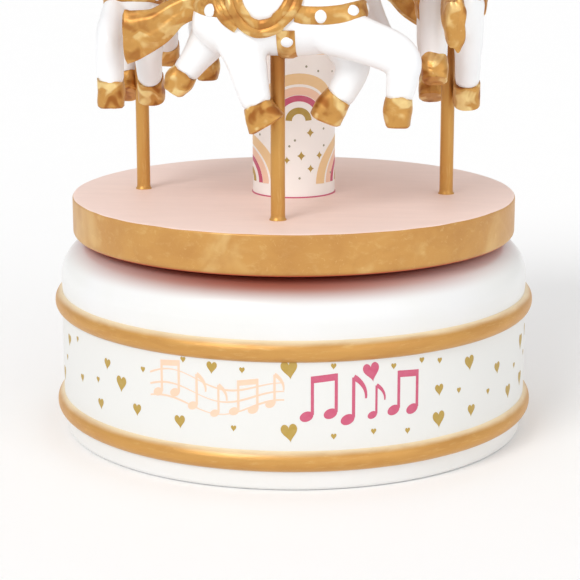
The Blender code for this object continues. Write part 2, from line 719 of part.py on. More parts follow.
def winding_key():
    """A butterfly key: two pierced wings on a hub that screws onto the arbor."""
    hub_high = COVER_Z - 0.0020
    hub_low = KEY_WING_TOP - 0.0035
    profile = [(0, hub_low), (KEY_HUB, hub_low), (KEY_HUB, hub_high), (0, hub_high)]
    key = turned("winding_key", profile, steel(), steps=SMALL_ROUND)
    middle = (KEY_LOW + KEY_WING_TOP) / 2
    half = (KEY_WING_TOP - KEY_LOW) / 2
    reach = KEY_WIDTH / 2 - half
    outline = []
    for side, start in ((1, -90), (-1, 90)):
        for k in range(9):
            a = math.radians(start + 180 * k / 8)
            outline.append((side * reach + half * math.cos(a), half * math.sin(a)))
    wings = prism_bmesh(outline, -KEY_THICKNESS / 2, KEY_THICKNESS / 2)
    upright = (math.pi / 2, 0, 0)
    join(key, helper("key_wings", wings, (0, 0, middle), upright))
    for side, name in ((1, "right"), (-1, "left")):
        eye = rod_bmesh(half * 0.52, -KEY_THICKNESS, KEY_THICKNESS, 12)
        cut(key, helper(f"key_eye_{name}", eye, (side * reach, 0, middle), upright))
    socket = rod_bmesh(ARBOR_RADIUS + GAP, hub_high - ARBOR_IN_KEY - GAP, hub_high + 0.001)
    return cut(key, helper("key_socket", socket))


# --- movement: wheels ------------------------------------------------------------------------------------
def gear_outline(teeth, pitch_radius, addendum, dedendum, phase=0.0):
    """Straight-flanked teeth. With no phase a tooth is centred on +X in the gear's own plane."""
    pitch = math.tau / teeth
    outline = []
    for k in range(teeth):
        centre = (k + phase) * pitch
        root, tip = pitch_radius - dedendum, pitch_radius + addendum
        widths = ((-0.70, root), (-0.27, tip), (0.27, tip), (0.70, root))
        for share, radius in widths:
            a = centre + share * pitch * TOOTH_SHARE
            outline.append((radius * math.cos(a), radius * math.sin(a)))
    return outline


def wheel(name, teeth, pitch_radius, module, x, width, y, bore, finish, phase=0.0):
    """A toothed wheel on an arbor that lies along X, at (y, CYLINDER_Z)."""
    outline = gear_outline(teeth, pitch_radius, module * 0.85, module * 1.15, phase)
    place_at = (0, y, CYLINDER_Z)
    made = prism(name, outline, x, x + width, finish, location=place_at, rotation=ALONG_X, smooth=False)
    hole = rod_bmesh(bore + GAP, x - 0.001, x + width + 0.001, SCREW_STEPS)
    return cut(made, helper(name + "_bore", hole, (0, y, CYLINDER_Z), ALONG_X))


def cylinder_pinion():
    """Meshes with the crown teeth below it: a gap between two of its teeth points down at a crown tooth."""
    module = 2 * PINION_PITCH_RADIUS / PINION_TEETH
    outline = gear_outline(PINION_TEETH, PINION_PITCH_RADIUS, module * 0.75, module * 1.10, 0.5)
    made = prism(
        "cylinder_pinion",
        outline,
        CROWN_INNER,
        CROWN_OUTER,
        brass(),
        location=(0, 0, CYLINDER_Z),
        rotation=ALONG_X,
        smooth=False,
    )
    hole = rod_bmesh(CYLINDER_ARBOR_RADIUS + GAP, CROWN_INNER - 0.001, CROWN_OUTER + 0.001, SCREW_STEPS)
    return cut(made, helper("cylinder_pinion_bore", hole, (0, 0, CYLINDER_Z), ALONG_X))


def arbor(name, radius, start, end, y):
    bm = rod_bmesh(radius, start, end, SCREW_STEPS)
    return place(name, bm, steel(), location=(0, y, CYLINDER_Z), rotation=ALONG_X)


def pinned_cylinder():
    """A drum with a raised pin for each note of the tune, in one row of pins for each tooth of the comb."""
    facets = 20
    bm = bmesh.new()
    rings = []
    for row in range(NOTES + 1):
        x = CYLINDER_X + CYLINDER_LENGTH * row / NOTES
        ring = []
        for k in range(facets):
            a = math.tau * k / facets
            ring.append(bm.verts.new((CYLINDER_RADIUS * math.cos(a), CYLINDER_RADIUS * math.sin(a), x)))
        rings.append(ring)
    pins = []
    for row, (one, two) in enumerate(zip(rings, rings[1:])):
        for k in range(facets):
            t = (k + 1) % facets
            face = bm.faces.new((one[k], one[t], two[t], two[k]))
            if (k * 7 + row * row * 3) % facets < 2:
                pins.append(face)
    bm.faces.new(rings[0][::-1])
    bm.faces.new(rings[-1])
    bmesh.ops.recalc_face_normals(bm, faces=bm.faces)
    bmesh.ops.inset_individual(bm, faces=pins, thickness=CYLINDER_LENGTH / NOTES * 0.3, depth=0.0)
    for face in bmesh.ops.extrude_discrete_faces(bm, faces=pins)["faces"]:
        outward = face.normal.copy()
        bmesh.ops.translate(bm, verts=face.verts, vec=outward * PIN_HEIGHT)
    drum = place("pinned_cylinder", bm, brass(), location=(0, 0, CYLINDER_Z), rotation=ALONG_X, smooth=False)
    hole = rod_bmesh(
        CYLINDER_ARBOR_RADIUS + GAP, CYLINDER_X - 0.001, CYLINDER_X + CYLINDER_LENGTH + 0.001, SCREW_STEPS
    )
    return cut(drum, helper("cylinder_bore", hole, (0, 0, CYLINDER_Z), ALONG_X))


def worm_wheel():
    """Slanted teeth that follow the worm's thread."""
    slant = WORM_STARTS * math.pi * WORM_MODULE / (math.tau * WORM_RADIUS) / WORM_WHEEL_RADIUS
    outline = gear_outline(WORM_WHEEL_TEETH, WORM_WHEEL_RADIUS, WORM_MODULE * 0.80, WORM_MODULE * 1.15)
    bm = prism_bmesh(outline, WORM_X - WHEEL_WIDTH / 2, WORM_X + WHEEL_WIDTH / 2)
    for v in bm.verts:
        v.co = Matrix.Rotation(slant * (v.co.z - WORM_X), 3, "Z") @ v.co
    where = (0, GOVERNOR_Y, CYLINDER_Z)
    made = place("worm_wheel", bm, white_nylon(), location=where, rotation=ALONG_X, smooth=False)
    reach = (WORM_X - WHEEL_WIDTH, WORM_X + WHEEL_WIDTH)
    hole = rod_bmesh(GOVERNOR_ARBOR_RADIUS + GAP, *reach, SCREW_STEPS)
    return cut(made, helper("worm_wheel_bore", hole, where, ALONG_X))


def governor_worm():
    """A steep two-start worm on a thin shaft: the worm wheel drives it, and it spins the air brake."""
    lead = WORM_STARTS * math.pi * WORM_MODULE
    root, tip = WORM_RADIUS - WORM_MODULE * 1.1, WORM_RADIUS + WORM_MODULE * 0.8
    start_angle = math.tau / WORM_STARTS
    shape = ((-0.70, root), (-0.27, tip), (0.0, tip), (0.27, tip), (0.70, root), (1 / TOOTH_SHARE / 2, root))
    steps = round(2 * WORM_HALF_LENGTH / lead * 10)
    groove_first = math.pi + WORM_STARTS * math.pi / 2
    bm = bmesh.new()
    rings = []
    for k in range(steps + 1):
        z = -WORM_HALF_LENGTH + 2 * WORM_HALF_LENGTH * k / steps
        ring = []
        for n in range(WORM_STARTS):
            for share, radius in shape:
                a = (n + share * TOOTH_SHARE) * start_angle + math.tau * z / lead
                a -= groove_first / WORM_STARTS
                ring.append(bm.verts.new((radius * math.cos(a), radius * math.sin(a), z)))
        rings.append(ring)
    for one, two in zip(rings, rings[1:]):
        for s in range(len(one)):
            t = (s + 1) % len(one)
            bm.faces.new((one[s], one[t], two[t], two[s]))
    bm.faces.new(rings[0][::-1])
    bm.faces.new(rings[-1])
    worm = place("governor_worm", bm, steel(), location=(WORM_X, WORM_Y, CYLINDER_Z))
    shaft = rod_bmesh(GOVERNOR_ARBOR_RADIUS, BRACKET_FOOT_TOP - 0.0005, FAN_TOP, SCREW_STEPS)
    return join(worm, helper("worm_shaft", shaft, (WORM_X, WORM_Y, 0)))


def air_brake_fan():
    """A two-bladed paddle pushed onto the worm's shaft above the bracket."""
    hub = rod_bmesh(GOVERNOR_ARBOR_RADIUS + 0.0009, FAN_LOW, FAN_TOP, SCREW_STEPS)
    fan = place("air_brake_fan", hub, white_nylon(), location=(WORM_X, WORM_Y, 0))
    blade = block_bmesh((-FAN_RADIUS, -0.0003, FAN_LOW), (FAN_RADIUS, 0.0003, FAN_TOP))
    join(fan, helper("fan_blades", blade, (WORM_X, WORM_Y, 0)))
    hole = rod_bmesh(GOVERNOR_ARBOR_RADIUS + GAP, FAN_LOW - 0.001, FAN_TOP + 0.001, SCREW_STEPS)
    return cut(fan, helper("fan_bore", hole, (WORM_X, WORM_Y, 0)))


# --- platform, column and poles --------------------------------------------------------------------------


def turntable_disc():
    bore = SPINDLE_RADIUS + GAP
    soft = 0.0018
    crisp = 0.0005
    outline = [(bore, PLATFORM_Z)]
    outline += arc(PLATFORM_RADIUS - soft, PLATFORM_Z + soft, soft, -90, 0, 2)
    outline += arc(PLATFORM_RADIUS - crisp, PLATFORM_TOP - crisp, crisp, 0, 90, 1)
    outline += [(bore, PLATFORM_TOP)]
    disc = turned("turntable_disc", outline, pink_lacquer(), ring=True)
    for side, angle in POLES.items():
        x, y = on_circle(POLE_CIRCLE, angle)
        hole = rod_bmesh(POLE_RADIUS + GAP, PLATFORM_TOP - POLE_DEPTH - GAP, PLATFORM_TOP + 0.001, 12)
        cut(disc, helper(f"pole_hole_{side}", hole, (x, y, 0)))
    return disc


def hub_nut():
    """The hexagon nut that clamps the platform, hidden in the foot of the column."""
    outline = [on_circle(NUT_RADIUS, 60 * k) for k in range(6)]
    low = PLATFORM_TOP + GAP
    nut = prism("hub_nut", outline, low, low + NUT_HEIGHT, steel(), smooth=False)
    hole = rod_bmesh(SPINDLE_RADIUS + GAP, low - 0.001, low + NUT_HEIGHT + 0.001)
    return cut(nut, helper("nut_thread", hole))


def centre_column():
    """A turned dowel. Its foot is bored to fit over the nut, and its head takes the canopy's screw."""
    radius = COLUMN_RADIUS - FILM - GAP
    low, high = PLATFORM_TOP + GAP, CEILING_Z - GAP
    bore = NUT_RADIUS + GAP
    bore_top = low + NUT_HEIGHT + 0.0015 + 2 * GAP
    screw_bore = CANOPY_SCREW["shank"] + GAP
    screw_end = CEILING_Z + CEILING_THICKNESS - CANOPY_SCREW["length"] - 0.0005
    profile = [
        (0, bore_top),
        (bore, bore_top),
        (bore, low),
        (radius, low),
        (radius, high),
        (screw_bore, high),
        (screw_bore, screw_end),
        (0, screw_end),
    ]
    return turned("centre_column", profile, white_lacquer(), steps=28)


def column_print_wrap():
    inner = COLUMN_RADIUS - FILM
    low, high = PLATFORM_TOP + GAP, CEILING_Z - GAP
    profile = [(inner, low), (COLUMN_RADIUS, low), (COLUMN_RADIUS, high), (inner, high)]
    return turned("column_print_wrap", profile, printed_film(), steps=28, ring=True)


def poles():
    low = PLATFORM_TOP - POLE_DEPTH
    high = CEILING_Z + POLE_TOP_DEPTH
    for side, angle in POLES.items():
        x, y = on_circle(POLE_CIRCLE, angle)
        place(f"pole_{side}", rod_bmesh(POLE_RADIUS, low, high, 12), gold_paint(), location=(x, y, 0))


# --- horses ----------------------------------------------------------------------------------------------
# A horse's own frame: x towards its nose, y towards the middle of the carousel and z up, from the point
# where the pole leaves its belly. A station is (x, y, z, half its width across y, half its depth in the
# plane of x and z), in mm.
MM = 0.001
BARREL_STATIONS = (
    (-18.1, 0, 9.3, 3.2, 3.4),
    (-16.2, 0, 9.3, 5.3, 5.5),
    (-12, 0, 8.4, 7.4, 7.6),
    (-5, 0, 7.8, 7.2, 7.4),
    (2, 0, 7.7, 7.1, 7.4),
    (9, 0, 8.7, 7.1, 8.0),
    (13.6, 0, 9.8, 6.5, 7.6),
    (16.8, 0, 10.6, 5.2, 5.8),
    (18.8, 0, 11.2, 2.6, 3.0),
)
NECK_STATIONS = (
    (8.8, 0, 10, 6.0, 7.6),
    (12.8, 0, 16.6, 5.1, 6.8),
    (16.8, 0, 23, 4.1, 5.5),
    (19.4, 0, 28.5, 3.5, 4.6),
    (20.4, 0, 31.5, 2.6, 3.2),
)
HEAD_STATIONS = (
    (17.8, 0, 32.0, 2.6, 2.8),
    (20.4, 0, 30.4, 3.4, 3.7),
    (23.6, 0, 27.4, 3.2, 3.5),
    (26.8, 0, 23.8, 2.5, 2.6),
    (28.8, 0, 21.4, 2.3, 2.4),
    (29.8, 0, 20.2, 1.4, 1.5),
)
SUPPORT_HIND = (
    (-9.6, -3.6, 7.5, 3.8, 5.6),
    (-6.6, -4.1, 0.5, 3.5, 4.6),
    (-5.4, -4.2, -4.5, 3.1, 3.9),
    (-4.4, -4.2, -8.8, 2.9, 3.2),
    (-3.2, -4.2, -11.6, 3.2, 4.1),
    (-1.9, -4.2, -14.4, 3.3, 4.8),
)
STRETCHED_HIND = (
    (-12.6, 3.6, 8.5, 3.8, 5.6),
    (-15.2, 4.0, 3.8, 3.5, 4.6),
    (-18.4, 4.2, -0.6, 3.1, 3.4),
    (-20.7, 4.2, -3.5, 2.9, 3.0),
    (-22.3, 4.2, -5.8, 3.1, 3.3),
    (-23.8, 4.2, -8.2, 2.9, 2.6),
)
RAISED_FORE = (
    (11.5, -3.4, 6.5, 3.7, 5.6),
    (18.5, -3.9, 4.3, 3.5, 4.9),
    (24.2, -4.1, 2.2, 3.3, 4.6),
    (27.3, -4.1, -0.2, 3.2, 4.1),
    (27.3, -4.1, -3.8, 3.1, 3.4),
    (26.7, -4.1, -7.6, 2.9, 3.0),
    (26.3, -4.1, -11.0, 3.2, 3.3),
    (26.3, -4.1, -14.2, 2.9, 3.2),
)
BENT_FORE = (
    (13, 3.4, 5.5, 3.7, 5.6),
    (15.8, 3.6, -0.5, 3.4, 4.2),
    (15.7, 3.4, -4.0, 3.1, 3.7),
    (13.3, 3.4, -8.4, 2.9, 3.1),
    (11.4, 3.4, -11.2, 3.1, 3.6),
    (10.2, 3.4, -14.2, 3.1, 3.6),
)
TAIL = (
    (-15.2, 0, 12.0, 1.8, 2.2),
    (-18.5, 0, 11.0, 2.1, 2.9),
    (-22.5, 0, 9.2, 2.3, 3.1),
    (-26.5, 0, 6.4, 2.5, 4.0),
    (-31, 0, 4.7, 2.5, 5.1),
    (-33.6, 0, 4.2, 2.1, 5.6),
)
MANE = (
    (9.5, 0, 21.5, 1.6, 3.0),
    (12.5, 0, 27.5, 1.8, 3.4),
    (15.8, 0, 32.0, 1.7, 3.0),
    (18.6, 0, 34.4, 1.4, 2.0),
)
SADDLE = (
    (-9.6, 0, 10.6, 7.6, 4.6),
    (-7.0, 0, 11.0, 8.3, 5.6),
    (-2.6, 0, 10.8, 8.4, 5.0),
    (2.0, 0, 11.0, 8.3, 5.6),
    (4.6, 0, 10.8, 7.6, 4.6),
)
LIMBS = (
    BARREL_STATIONS,
    NECK_STATIONS,
    HEAD_STATIONS,
    SUPPORT_HIND,
    STRETCHED_HIND,
    RAISED_FORE,
    BENT_FORE,
    TAIL,
    MANE,
    SADDLE,
)
HORSE_LEANS = {  # degrees nose down and turned inwards, and metres up
    "front": (0.0, 0.0, 0.0),
    "right": (3.7, 3.6, 0.0006),
    "back": (0.0, 0.0, 0.0),
    "left": (-1.2, 4.0, 0.0010),
}


def limb(bm, stations):
    """A closed tube through the stations, each ring square to the limb's own direction."""
    points = [Vector(s[:3]) * MM for s in stations]
    rings = []
    for k, (point, station) in enumerate(zip(points, stations)):
        ahead = points[min(k + 1, len(points) - 1)]
        behind = points[max(k - 1, 0)]
        along = (ahead - behind).normalized()
        across = Vector((0, 1, 0))
        depth = along.cross(across).normalized()
        half_width, half_depth = station[3] * MM, station[4] * MM
        ring = []
        for s in range(LIMB_SIDES):
            a = math.tau * s / LIMB_SIDES
            out = across * half_width * math.cos(a) + depth * half_depth * math.sin(a)
            ring.append(bm.verts.new(point + out))
        rings.append(ring)
    for one, two in zip(rings, rings[1:]):
        for s in range(LIMB_SIDES):
            t = (s + 1) % LIMB_SIDES
            bm.faces.new((one[s], one[t], two[t], two[s]))
    bm.faces.new(rings[0][::-1])
    bm.faces.new(rings[-1])


def horse_mesh():
    """One casting: the limbs melted into one skin, thinned to a plain solid."""
    bm = bmesh.new()
    for stations in LIMBS:
        limb(bm, stations)
    blank = place("horse_blank", bm, white_lacquer())
    melt = blank.modifiers.new("melt", "REMESH")
    melt.mode = "VOXEL"
    melt.voxel_size = HORSE_VOXEL
    even = blank.modifiers.new("even", "SMOOTH")
    even.factor = 0.5
    even.iterations = 2
    thin = blank.modifiers.new("thin", "DECIMATE")
    thin.ratio = HORSE_FACE_SHARE
    thin.use_collapse_triangulate = True
    bpy.context.view_layer.update()
    evaluated = blank.evaluated_get(bpy.context.evaluated_depsgraph_get())
    mesh = bpy.data.meshes.new_from_object(evaluated)
    mesh.name = "horse"
    bpy.data.objects.remove(blank)
    return mesh


def horses():
    """The same casting on each pole, bored for the pole after it is set to its lean."""
    mesh = horse_mesh()
    for side, angle in POLES.items():
        x, y = on_circle(POLE_CIRCLE, angle)
        made = bpy.data.objects.new(f"horse_{side}", mesh)
        nose_down, yaw, lift = HORSE_LEANS[side]
        made.location = (x, y, PLATFORM_TOP + HORSE_LIFT + lift)
        made.rotation_euler = (0, math.radians(nose_down), math.radians(angle + 90 + yaw))
        bpy.context.scene.collection.objects.link(made)
        hole = rod_bmesh(POLE_RADIUS + GAP, PLATFORM_TOP + 0.020, CEILING_Z - 0.001, 12)
        cut(made, helper(f"horse_pole_hole_{side}", hole, (x, y, 0)))


# --- canopy ----------------------------------------------------------------------------------------------
VALANCE_INSIDE = CANOPY_RADIUS - VALANCE_THICKNESS


def canopy_ceiling():
    """The board that closes the canopy from below. The poles end in it and the column carries it."""
    top = CEILING_Z + CEILING_THICKNESS
    radius = VALANCE_INSIDE - GAP
    bore = CANOPY_SCREW["shank"] + GAP
    profile = [(bore, CEILING_Z), (radius, CEILING_Z), (radius, top), (bore, top)]
    board = turned("canopy_ceiling", profile, pink_lacquer(), steps=36, ring=True)
    for side, angle in POLES.items():
        x, y = on_circle(POLE_CIRCLE, angle)
        hole = rod_bmesh(POLE_RADIUS + GAP, CEILING_Z - 0.001, CEILING_Z + POLE_TOP_DEPTH + GAP, 12)
        cut(board, helper(f"ceiling_hole_{side}", hole, (x, y, 0)))
    return board


def canopy_screw():
    mesh = screw_mesh(CANOPY_SCREW, "canopy_screw_slot")
    return screw("canopy_screw", mesh, (0, 0, CEILING_Z + CEILING_THICKNESS + GAP))


def canopy_valance():
    """A ring whose lower edge hangs in round scallops. A ledge inside it, above the board, keeps it up."""
    per_scallop = 4
    count = SCALLOPS * per_scallop
    board_top = CEILING_Z + CEILING_THICKNESS + GAP
    ledge = VALANCE_INSIDE - 0.0020
    bm = bmesh.new()
    rings = []
    for k in range(count):
        a = math.tau * k / count
        share = (k % per_scallop) / per_scallop
        hang = SCALLOP_DEPTH * math.sin(math.pi * share) ** 0.7
        low = VALANCE_TOP_Z - VALANCE_DROP - hang
        section = (
            (VALANCE_INSIDE, low),
            (CANOPY_RADIUS, low),
            (CANOPY_RADIUS, VALANCE_TOP_Z),
            (ledge, VALANCE_TOP_Z),
            (ledge, board_top),
            (VALANCE_INSIDE, board_top),
        )
        rings.append([bm.verts.new((r * math.cos(a), r * math.sin(a), z)) for r, z in section])
    for k in range(count):
        one, two = rings[k], rings[(k + 1) % count]
        for s in range(len(one)):
            t = (s + 1) % len(one)
            bm.faces.new((one[s], one[t], two[t], two[s]))
    return place("canopy_valance", bm, white_lacquer())


ROOF_RIM = CANOPY_RADIUS + ROOF_OVERHANG
ROOF_Z = VALANCE_TOP_Z + GAP
ROOF_TOP = ROOF_Z + ROOF_RIM_HEIGHT + ROOF_HEIGHT


def roof_curve(share):
    """Height share of the tent's curve at a radius share, 0 at the neck and 1 at the rim."""
    return (1 - share) ** 1.35


def canopy_roof():
    """A hollow tent roof: an upright rim, a sweep up to the neck, and a hole for the finial's spigot."""
    steps = 5
    shares = [1 - k / steps for k in range(steps + 1)]
    eaves, reach = ROOF_Z + ROOF_RIM_HEIGHT, ROOF_RIM - ROOF_NECK
    outside = [(ROOF_NECK + reach * s, eaves + ROOF_HEIGHT * roof_curve(s)) for s in shares]
    inside = [(r - ROOF_WALL * 0.7, z - ROOF_WALL) for r, z in outside[1:-1]]
    spigot = FINIAL_SPIGOT + GAP
    foot = ROOF_RIM - ROOF_WALL
    profile = [(foot, ROOF_Z), (ROOF_RIM, ROOF_Z), *outside, (spigot, ROOF_TOP)]
    profile += [(spigot, inside[-1][1]), *reversed(inside)]
    return turned("canopy_roof", profile, pink_lacquer(), steps=SCALLOPS * 2, ring=True)


def finial():
    """A turned knob: collar, ball and point, on a spigot that plugs into the roof."""
    base = ROOF_TOP + GAP
    collar = ROOF_NECK * 0.9
    ball_z = base + 0.0025 + FINIAL_BALL
    profile = [(0, base - 0.0035), (FINIAL_SPIGOT, base - 0.0035), (FINIAL_SPIGOT, base), (collar, base)]
    profile += [(collar, base + 0.0012), (FINIAL_BALL * 0.55, base + 0.0020)]
    profile += arc(0, ball_z, FINIAL_BALL, -58, 68, 5)
    profile += [(0.0009, ball_z + FINIAL_BALL + 0.0016), (0.0004, ball_z + FINIAL_BALL + 0.0040)]
    profile += [(0, ball_z + FINIAL_BALL + 0.0043)]
    return turned("finial", profile, gold_paint(), steps=16)


def main():
    for old in list(bpy.data.objects):
        bpy.data.objects.remove(old)
    base_casing()
    base_print_band()
    spindle_bush()
    bottom_cover()
    cover_screws()
    plate_screws()
    movement_bedplate()
    tone_comb()
    governor_bracket()
    clutch_coil()
    drive_spindle()
    spring_barrel()
    barrel_gear()
    mainspring()
    winding_arbor()
    winding_key()
    cylinder_pinion()
    arbor("cylinder_arbor", CYLINDER_ARBOR_RADIUS, CROWN_INNER - 0.0005, BRACKET_X + LUG_THICKNESS, 0)
    pinned_cylinder()
    wheel(
        "cylinder_gear",
        CYLINDER_GEAR_TEETH,
        CYLINDER_GEAR_RADIUS,
        GOVERNOR_MODULE,
        CYLINDER_GEAR_X,
        WHEEL_WIDTH,
        0,
        CYLINDER_ARBOR_RADIUS,
        brass(),
    )
    arbor_end = BRACKET_END_X + LUG_THICKNESS
    arbor("governor_arbor", GOVERNOR_ARBOR_RADIUS, CYLINDER_GEAR_X - 0.0005, arbor_end, GOVERNOR_Y)
    wheel(
        "governor_pinion",
        GOVERNOR_PINION_TEETH,
        GOVERNOR_PINION_RADIUS,
        GOVERNOR_MODULE,
        CYLINDER_GEAR_X,
        WHEEL_WIDTH,
        GOVERNOR_Y,
        GOVERNOR_ARBOR_RADIUS,
        steel(),
        phase=0.5,
    )
    worm_wheel()
    governor_worm()
    air_brake_fan()
    turntable_disc()
    hub_nut()
    centre_column()
    column_print_wrap()
    poles()
    horses()
    canopy_ceiling()
    canopy_screw()
    canopy_valance()
    canopy_roof()
    finial()


main()
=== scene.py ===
"""The looks of the carousel music box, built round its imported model.

Metres, +Z up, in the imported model's frame. A horse's own frame has x towards its nose, y towards the
middle of the carousel and z up from the point where the pole leaves its belly. Its tables are in
millimetres.
"""

import json
import math

import bmesh
import bpy
from bpy.props import FloatProperty, FloatVectorProperty, PointerProperty
from mathutils import Matrix, Vector, noise
from mathutils.bvhtree import BVHTree


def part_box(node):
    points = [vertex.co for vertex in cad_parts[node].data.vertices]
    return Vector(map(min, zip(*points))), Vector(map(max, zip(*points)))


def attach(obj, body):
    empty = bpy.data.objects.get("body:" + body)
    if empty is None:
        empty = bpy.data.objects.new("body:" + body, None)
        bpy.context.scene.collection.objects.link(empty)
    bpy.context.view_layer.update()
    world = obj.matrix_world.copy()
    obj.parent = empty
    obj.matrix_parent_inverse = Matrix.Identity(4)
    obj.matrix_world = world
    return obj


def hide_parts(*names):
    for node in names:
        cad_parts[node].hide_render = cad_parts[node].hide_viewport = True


bl_info = {
    "name": "Carousel Music Box",
    "version": (1, 0, 0),
    "blender": (4, 5, 0),
    "location": "View3D > Sidebar > Carousel",
    "description": "Builds the painted surfaces of a carousel music box round its packed model",
    "category": "Object",
}

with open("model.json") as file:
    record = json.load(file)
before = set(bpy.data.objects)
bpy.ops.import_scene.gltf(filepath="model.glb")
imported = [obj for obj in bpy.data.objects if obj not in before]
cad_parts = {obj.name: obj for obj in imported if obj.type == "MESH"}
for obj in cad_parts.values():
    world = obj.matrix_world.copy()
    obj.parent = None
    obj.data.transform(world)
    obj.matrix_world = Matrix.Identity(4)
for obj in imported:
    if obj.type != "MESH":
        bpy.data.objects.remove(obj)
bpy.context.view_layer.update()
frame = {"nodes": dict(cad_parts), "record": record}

MM = 0.001
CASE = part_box("base_casing")
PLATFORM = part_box("turntable_disc")
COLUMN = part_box("column_print_wrap")
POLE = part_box("pole_front")
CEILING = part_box("canopy_ceiling")
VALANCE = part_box("canopy_valance")
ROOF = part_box("canopy_roof")
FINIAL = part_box("finial")
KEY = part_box("winding_key")


def paint(red, green, blue):
    """A colour from a paint card's 0 to 255 values, as the shader's linear one."""
    return tuple(
        (c / 12.92 if c <= 0.04045 else ((c + 0.055) / 1.055) ** 2.4)
        for c in (red / 255, green / 255, blue / 255)
    )


# --- what a user can change ---------------------------------------------------------------------------
def length(name, description, default):
    return FloatProperty(
        name=name, description=description, default=default, min=0.0, subtype="DISTANCE", unit="LENGTH"
    )


def colour(name, description, default):
    return FloatVectorProperty(
        name=name, description=description, default=default, size=3, min=0.0, max=1.0, subtype="COLOR"
    )


class CarouselSizes(bpy.types.PropertyGroup):
    """Sizes that the painted surfaces follow."""

    case_radius: length("Case radius", "Wall of the printed band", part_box("base_print_band")[1].x)
    case_height: length("Case height", "Top of the base", CASE[1].z)
    foot_radius: length("Foot radius", "Lowest edge of the base", 0.0554)
    shoulder: length("Shoulder", "Rounding of the base's top edge", 0.0086)
    bead_radius: length("Bead radius", "Rounding of the two gold beads", 0.0026)
    bead_stand: length("Bead stand-out", "How far the beads stand out of the wall", 0.0016)
    lower_bead: length("Lower bead", "Height of the lower bead", 0.0070)
    upper_bead: length("Upper bead", "Height of the upper bead", 0.0317)
    platform_radius: length("Platform radius", "Outer edge of the platform", PLATFORM[1].x)
    platform_low: length("Platform underside", "Height of the platform's underside", PLATFORM[0].z)
    platform_top: length("Platform top", "Height that the horses run above", PLATFORM[1].z)
    column_radius: length("Column radius", "Printed centre column", COLUMN[1].x)
    pole_radius: length("Pole radius", "Gold poles", 0.0016)
    pole_circle: length("Pole circle", "How far the poles stand from the middle", 0.0365)
    ink: length("Ink", "How thick the printed motifs lie on the paper", 0.00004)
    belly: length("Belly height", "Where the poles leave the horses, above the platform", 0.0359)
    canopy_radius: length("Canopy radius", "Outside of the canopy's skirt", VALANCE[1].x)


class CarouselColours(bpy.types.PropertyGroup):
    """Colours of the paints and inks, and of the painted shade and highlights."""

    # Set darker than the horses' white as painted shade, to tone down the light on the base outside the
    # canopy.
    casing_white: colour("Casing white", "Gloss white of the base", paint(233, 233, 231))
    white: colour("White", "Gloss white of the horses and the canopy", paint(248, 249, 250))
    white_shade: colour("White shade", "Where the white paint lies thin", paint(236, 236, 238))
    pink: colour("Pink", "Top of the platform", paint(250, 224, 214))
    underside: colour("Underside", "Underside of the platform", paint(204, 98, 66))
    # Painted shade: the reddish-brown dark laid on the base just under the platform.
    shade_under_platform: colour("Platform shade", "Painted shade on the base under the platform", paint(158, 76, 46))
    gold: colour("Gold", "Brushed gold paint", paint(204, 150, 76))
    # Also the painted highlights on cast gold.
    gold_light: colour("Light gold", "Pale strokes of the gold, and painted highlights", paint(250, 224, 158))
    # Painted highlight along the tops of the beads.
    gold_highlight: colour("Highlight gold", "Painted highlight on the tops of the beads", paint(255, 240, 206))
    # Also painted shade on the poles and in the low places of cast gold.
    gold_dark: colour("Dark gold", "Where the gold paint pools", paint(160, 96, 34))
    olive: colour("Olive gold", "Printed hearts and sparkles", paint(178, 144, 34))
    peach: colour("Peach", "Printed staff and inner arcs", paint(245, 203, 174))
    apricot: colour("Apricot", "Outermost printed arcs", paint(240, 203, 148))
    raspberry: colour("Raspberry", "Printed notes and arcs", paint(198, 66, 106))
    # Set darker as painted shade, like the casing's white.
    paper: colour("Paper", "Ground of the base's printed band", paint(231, 231, 228))
    column_paper: colour("Column paper", "Ground of the column's printed wrap", paint(253, 249, 245))
    grey: colour("Grey", "Printed dots", paint(150, 146, 120))


def sizes():
    return bpy.context.scene.carousel_sizes


def colours():
    return bpy.context.scene.carousel_colours


# --- shader maths -------------------------------------------------------------------------------------
class Value:
    """A number socket that Python's operators work on: each one adds its Math node."""

    def __init__(self, finish, socket):
        self.finish = finish
        self.socket = socket

    def with_(self, operation, first, second):
        made = self.finish.node("Math", {"operation": operation}, {0: first, 1: second})
        return Value(self.finish, made.outputs[0])

    def __add__(self, other):
        return self.with_("ADD", self, other)

    def __sub__(self, other):
        return self.with_("SUBTRACT", self, other)

    def __rsub__(self, other):
        return self.with_("SUBTRACT", other, self)

    def __mul__(self, other):
        return self.with_("MULTIPLY", self, other)

    __radd__ = __add__
    __rmul__ = __mul__

    def step(self, start, end):
        """0 below start, 1 above end and smooth between."""
        settings = {"interpolation_type": "SMOOTHSTEP"}
        made = self.finish.node("MapRange", settings, {0: self, 1: start, 2: end, 3: 0.0, 4: 1.0})
        return Value(self.finish, made.outputs[0])


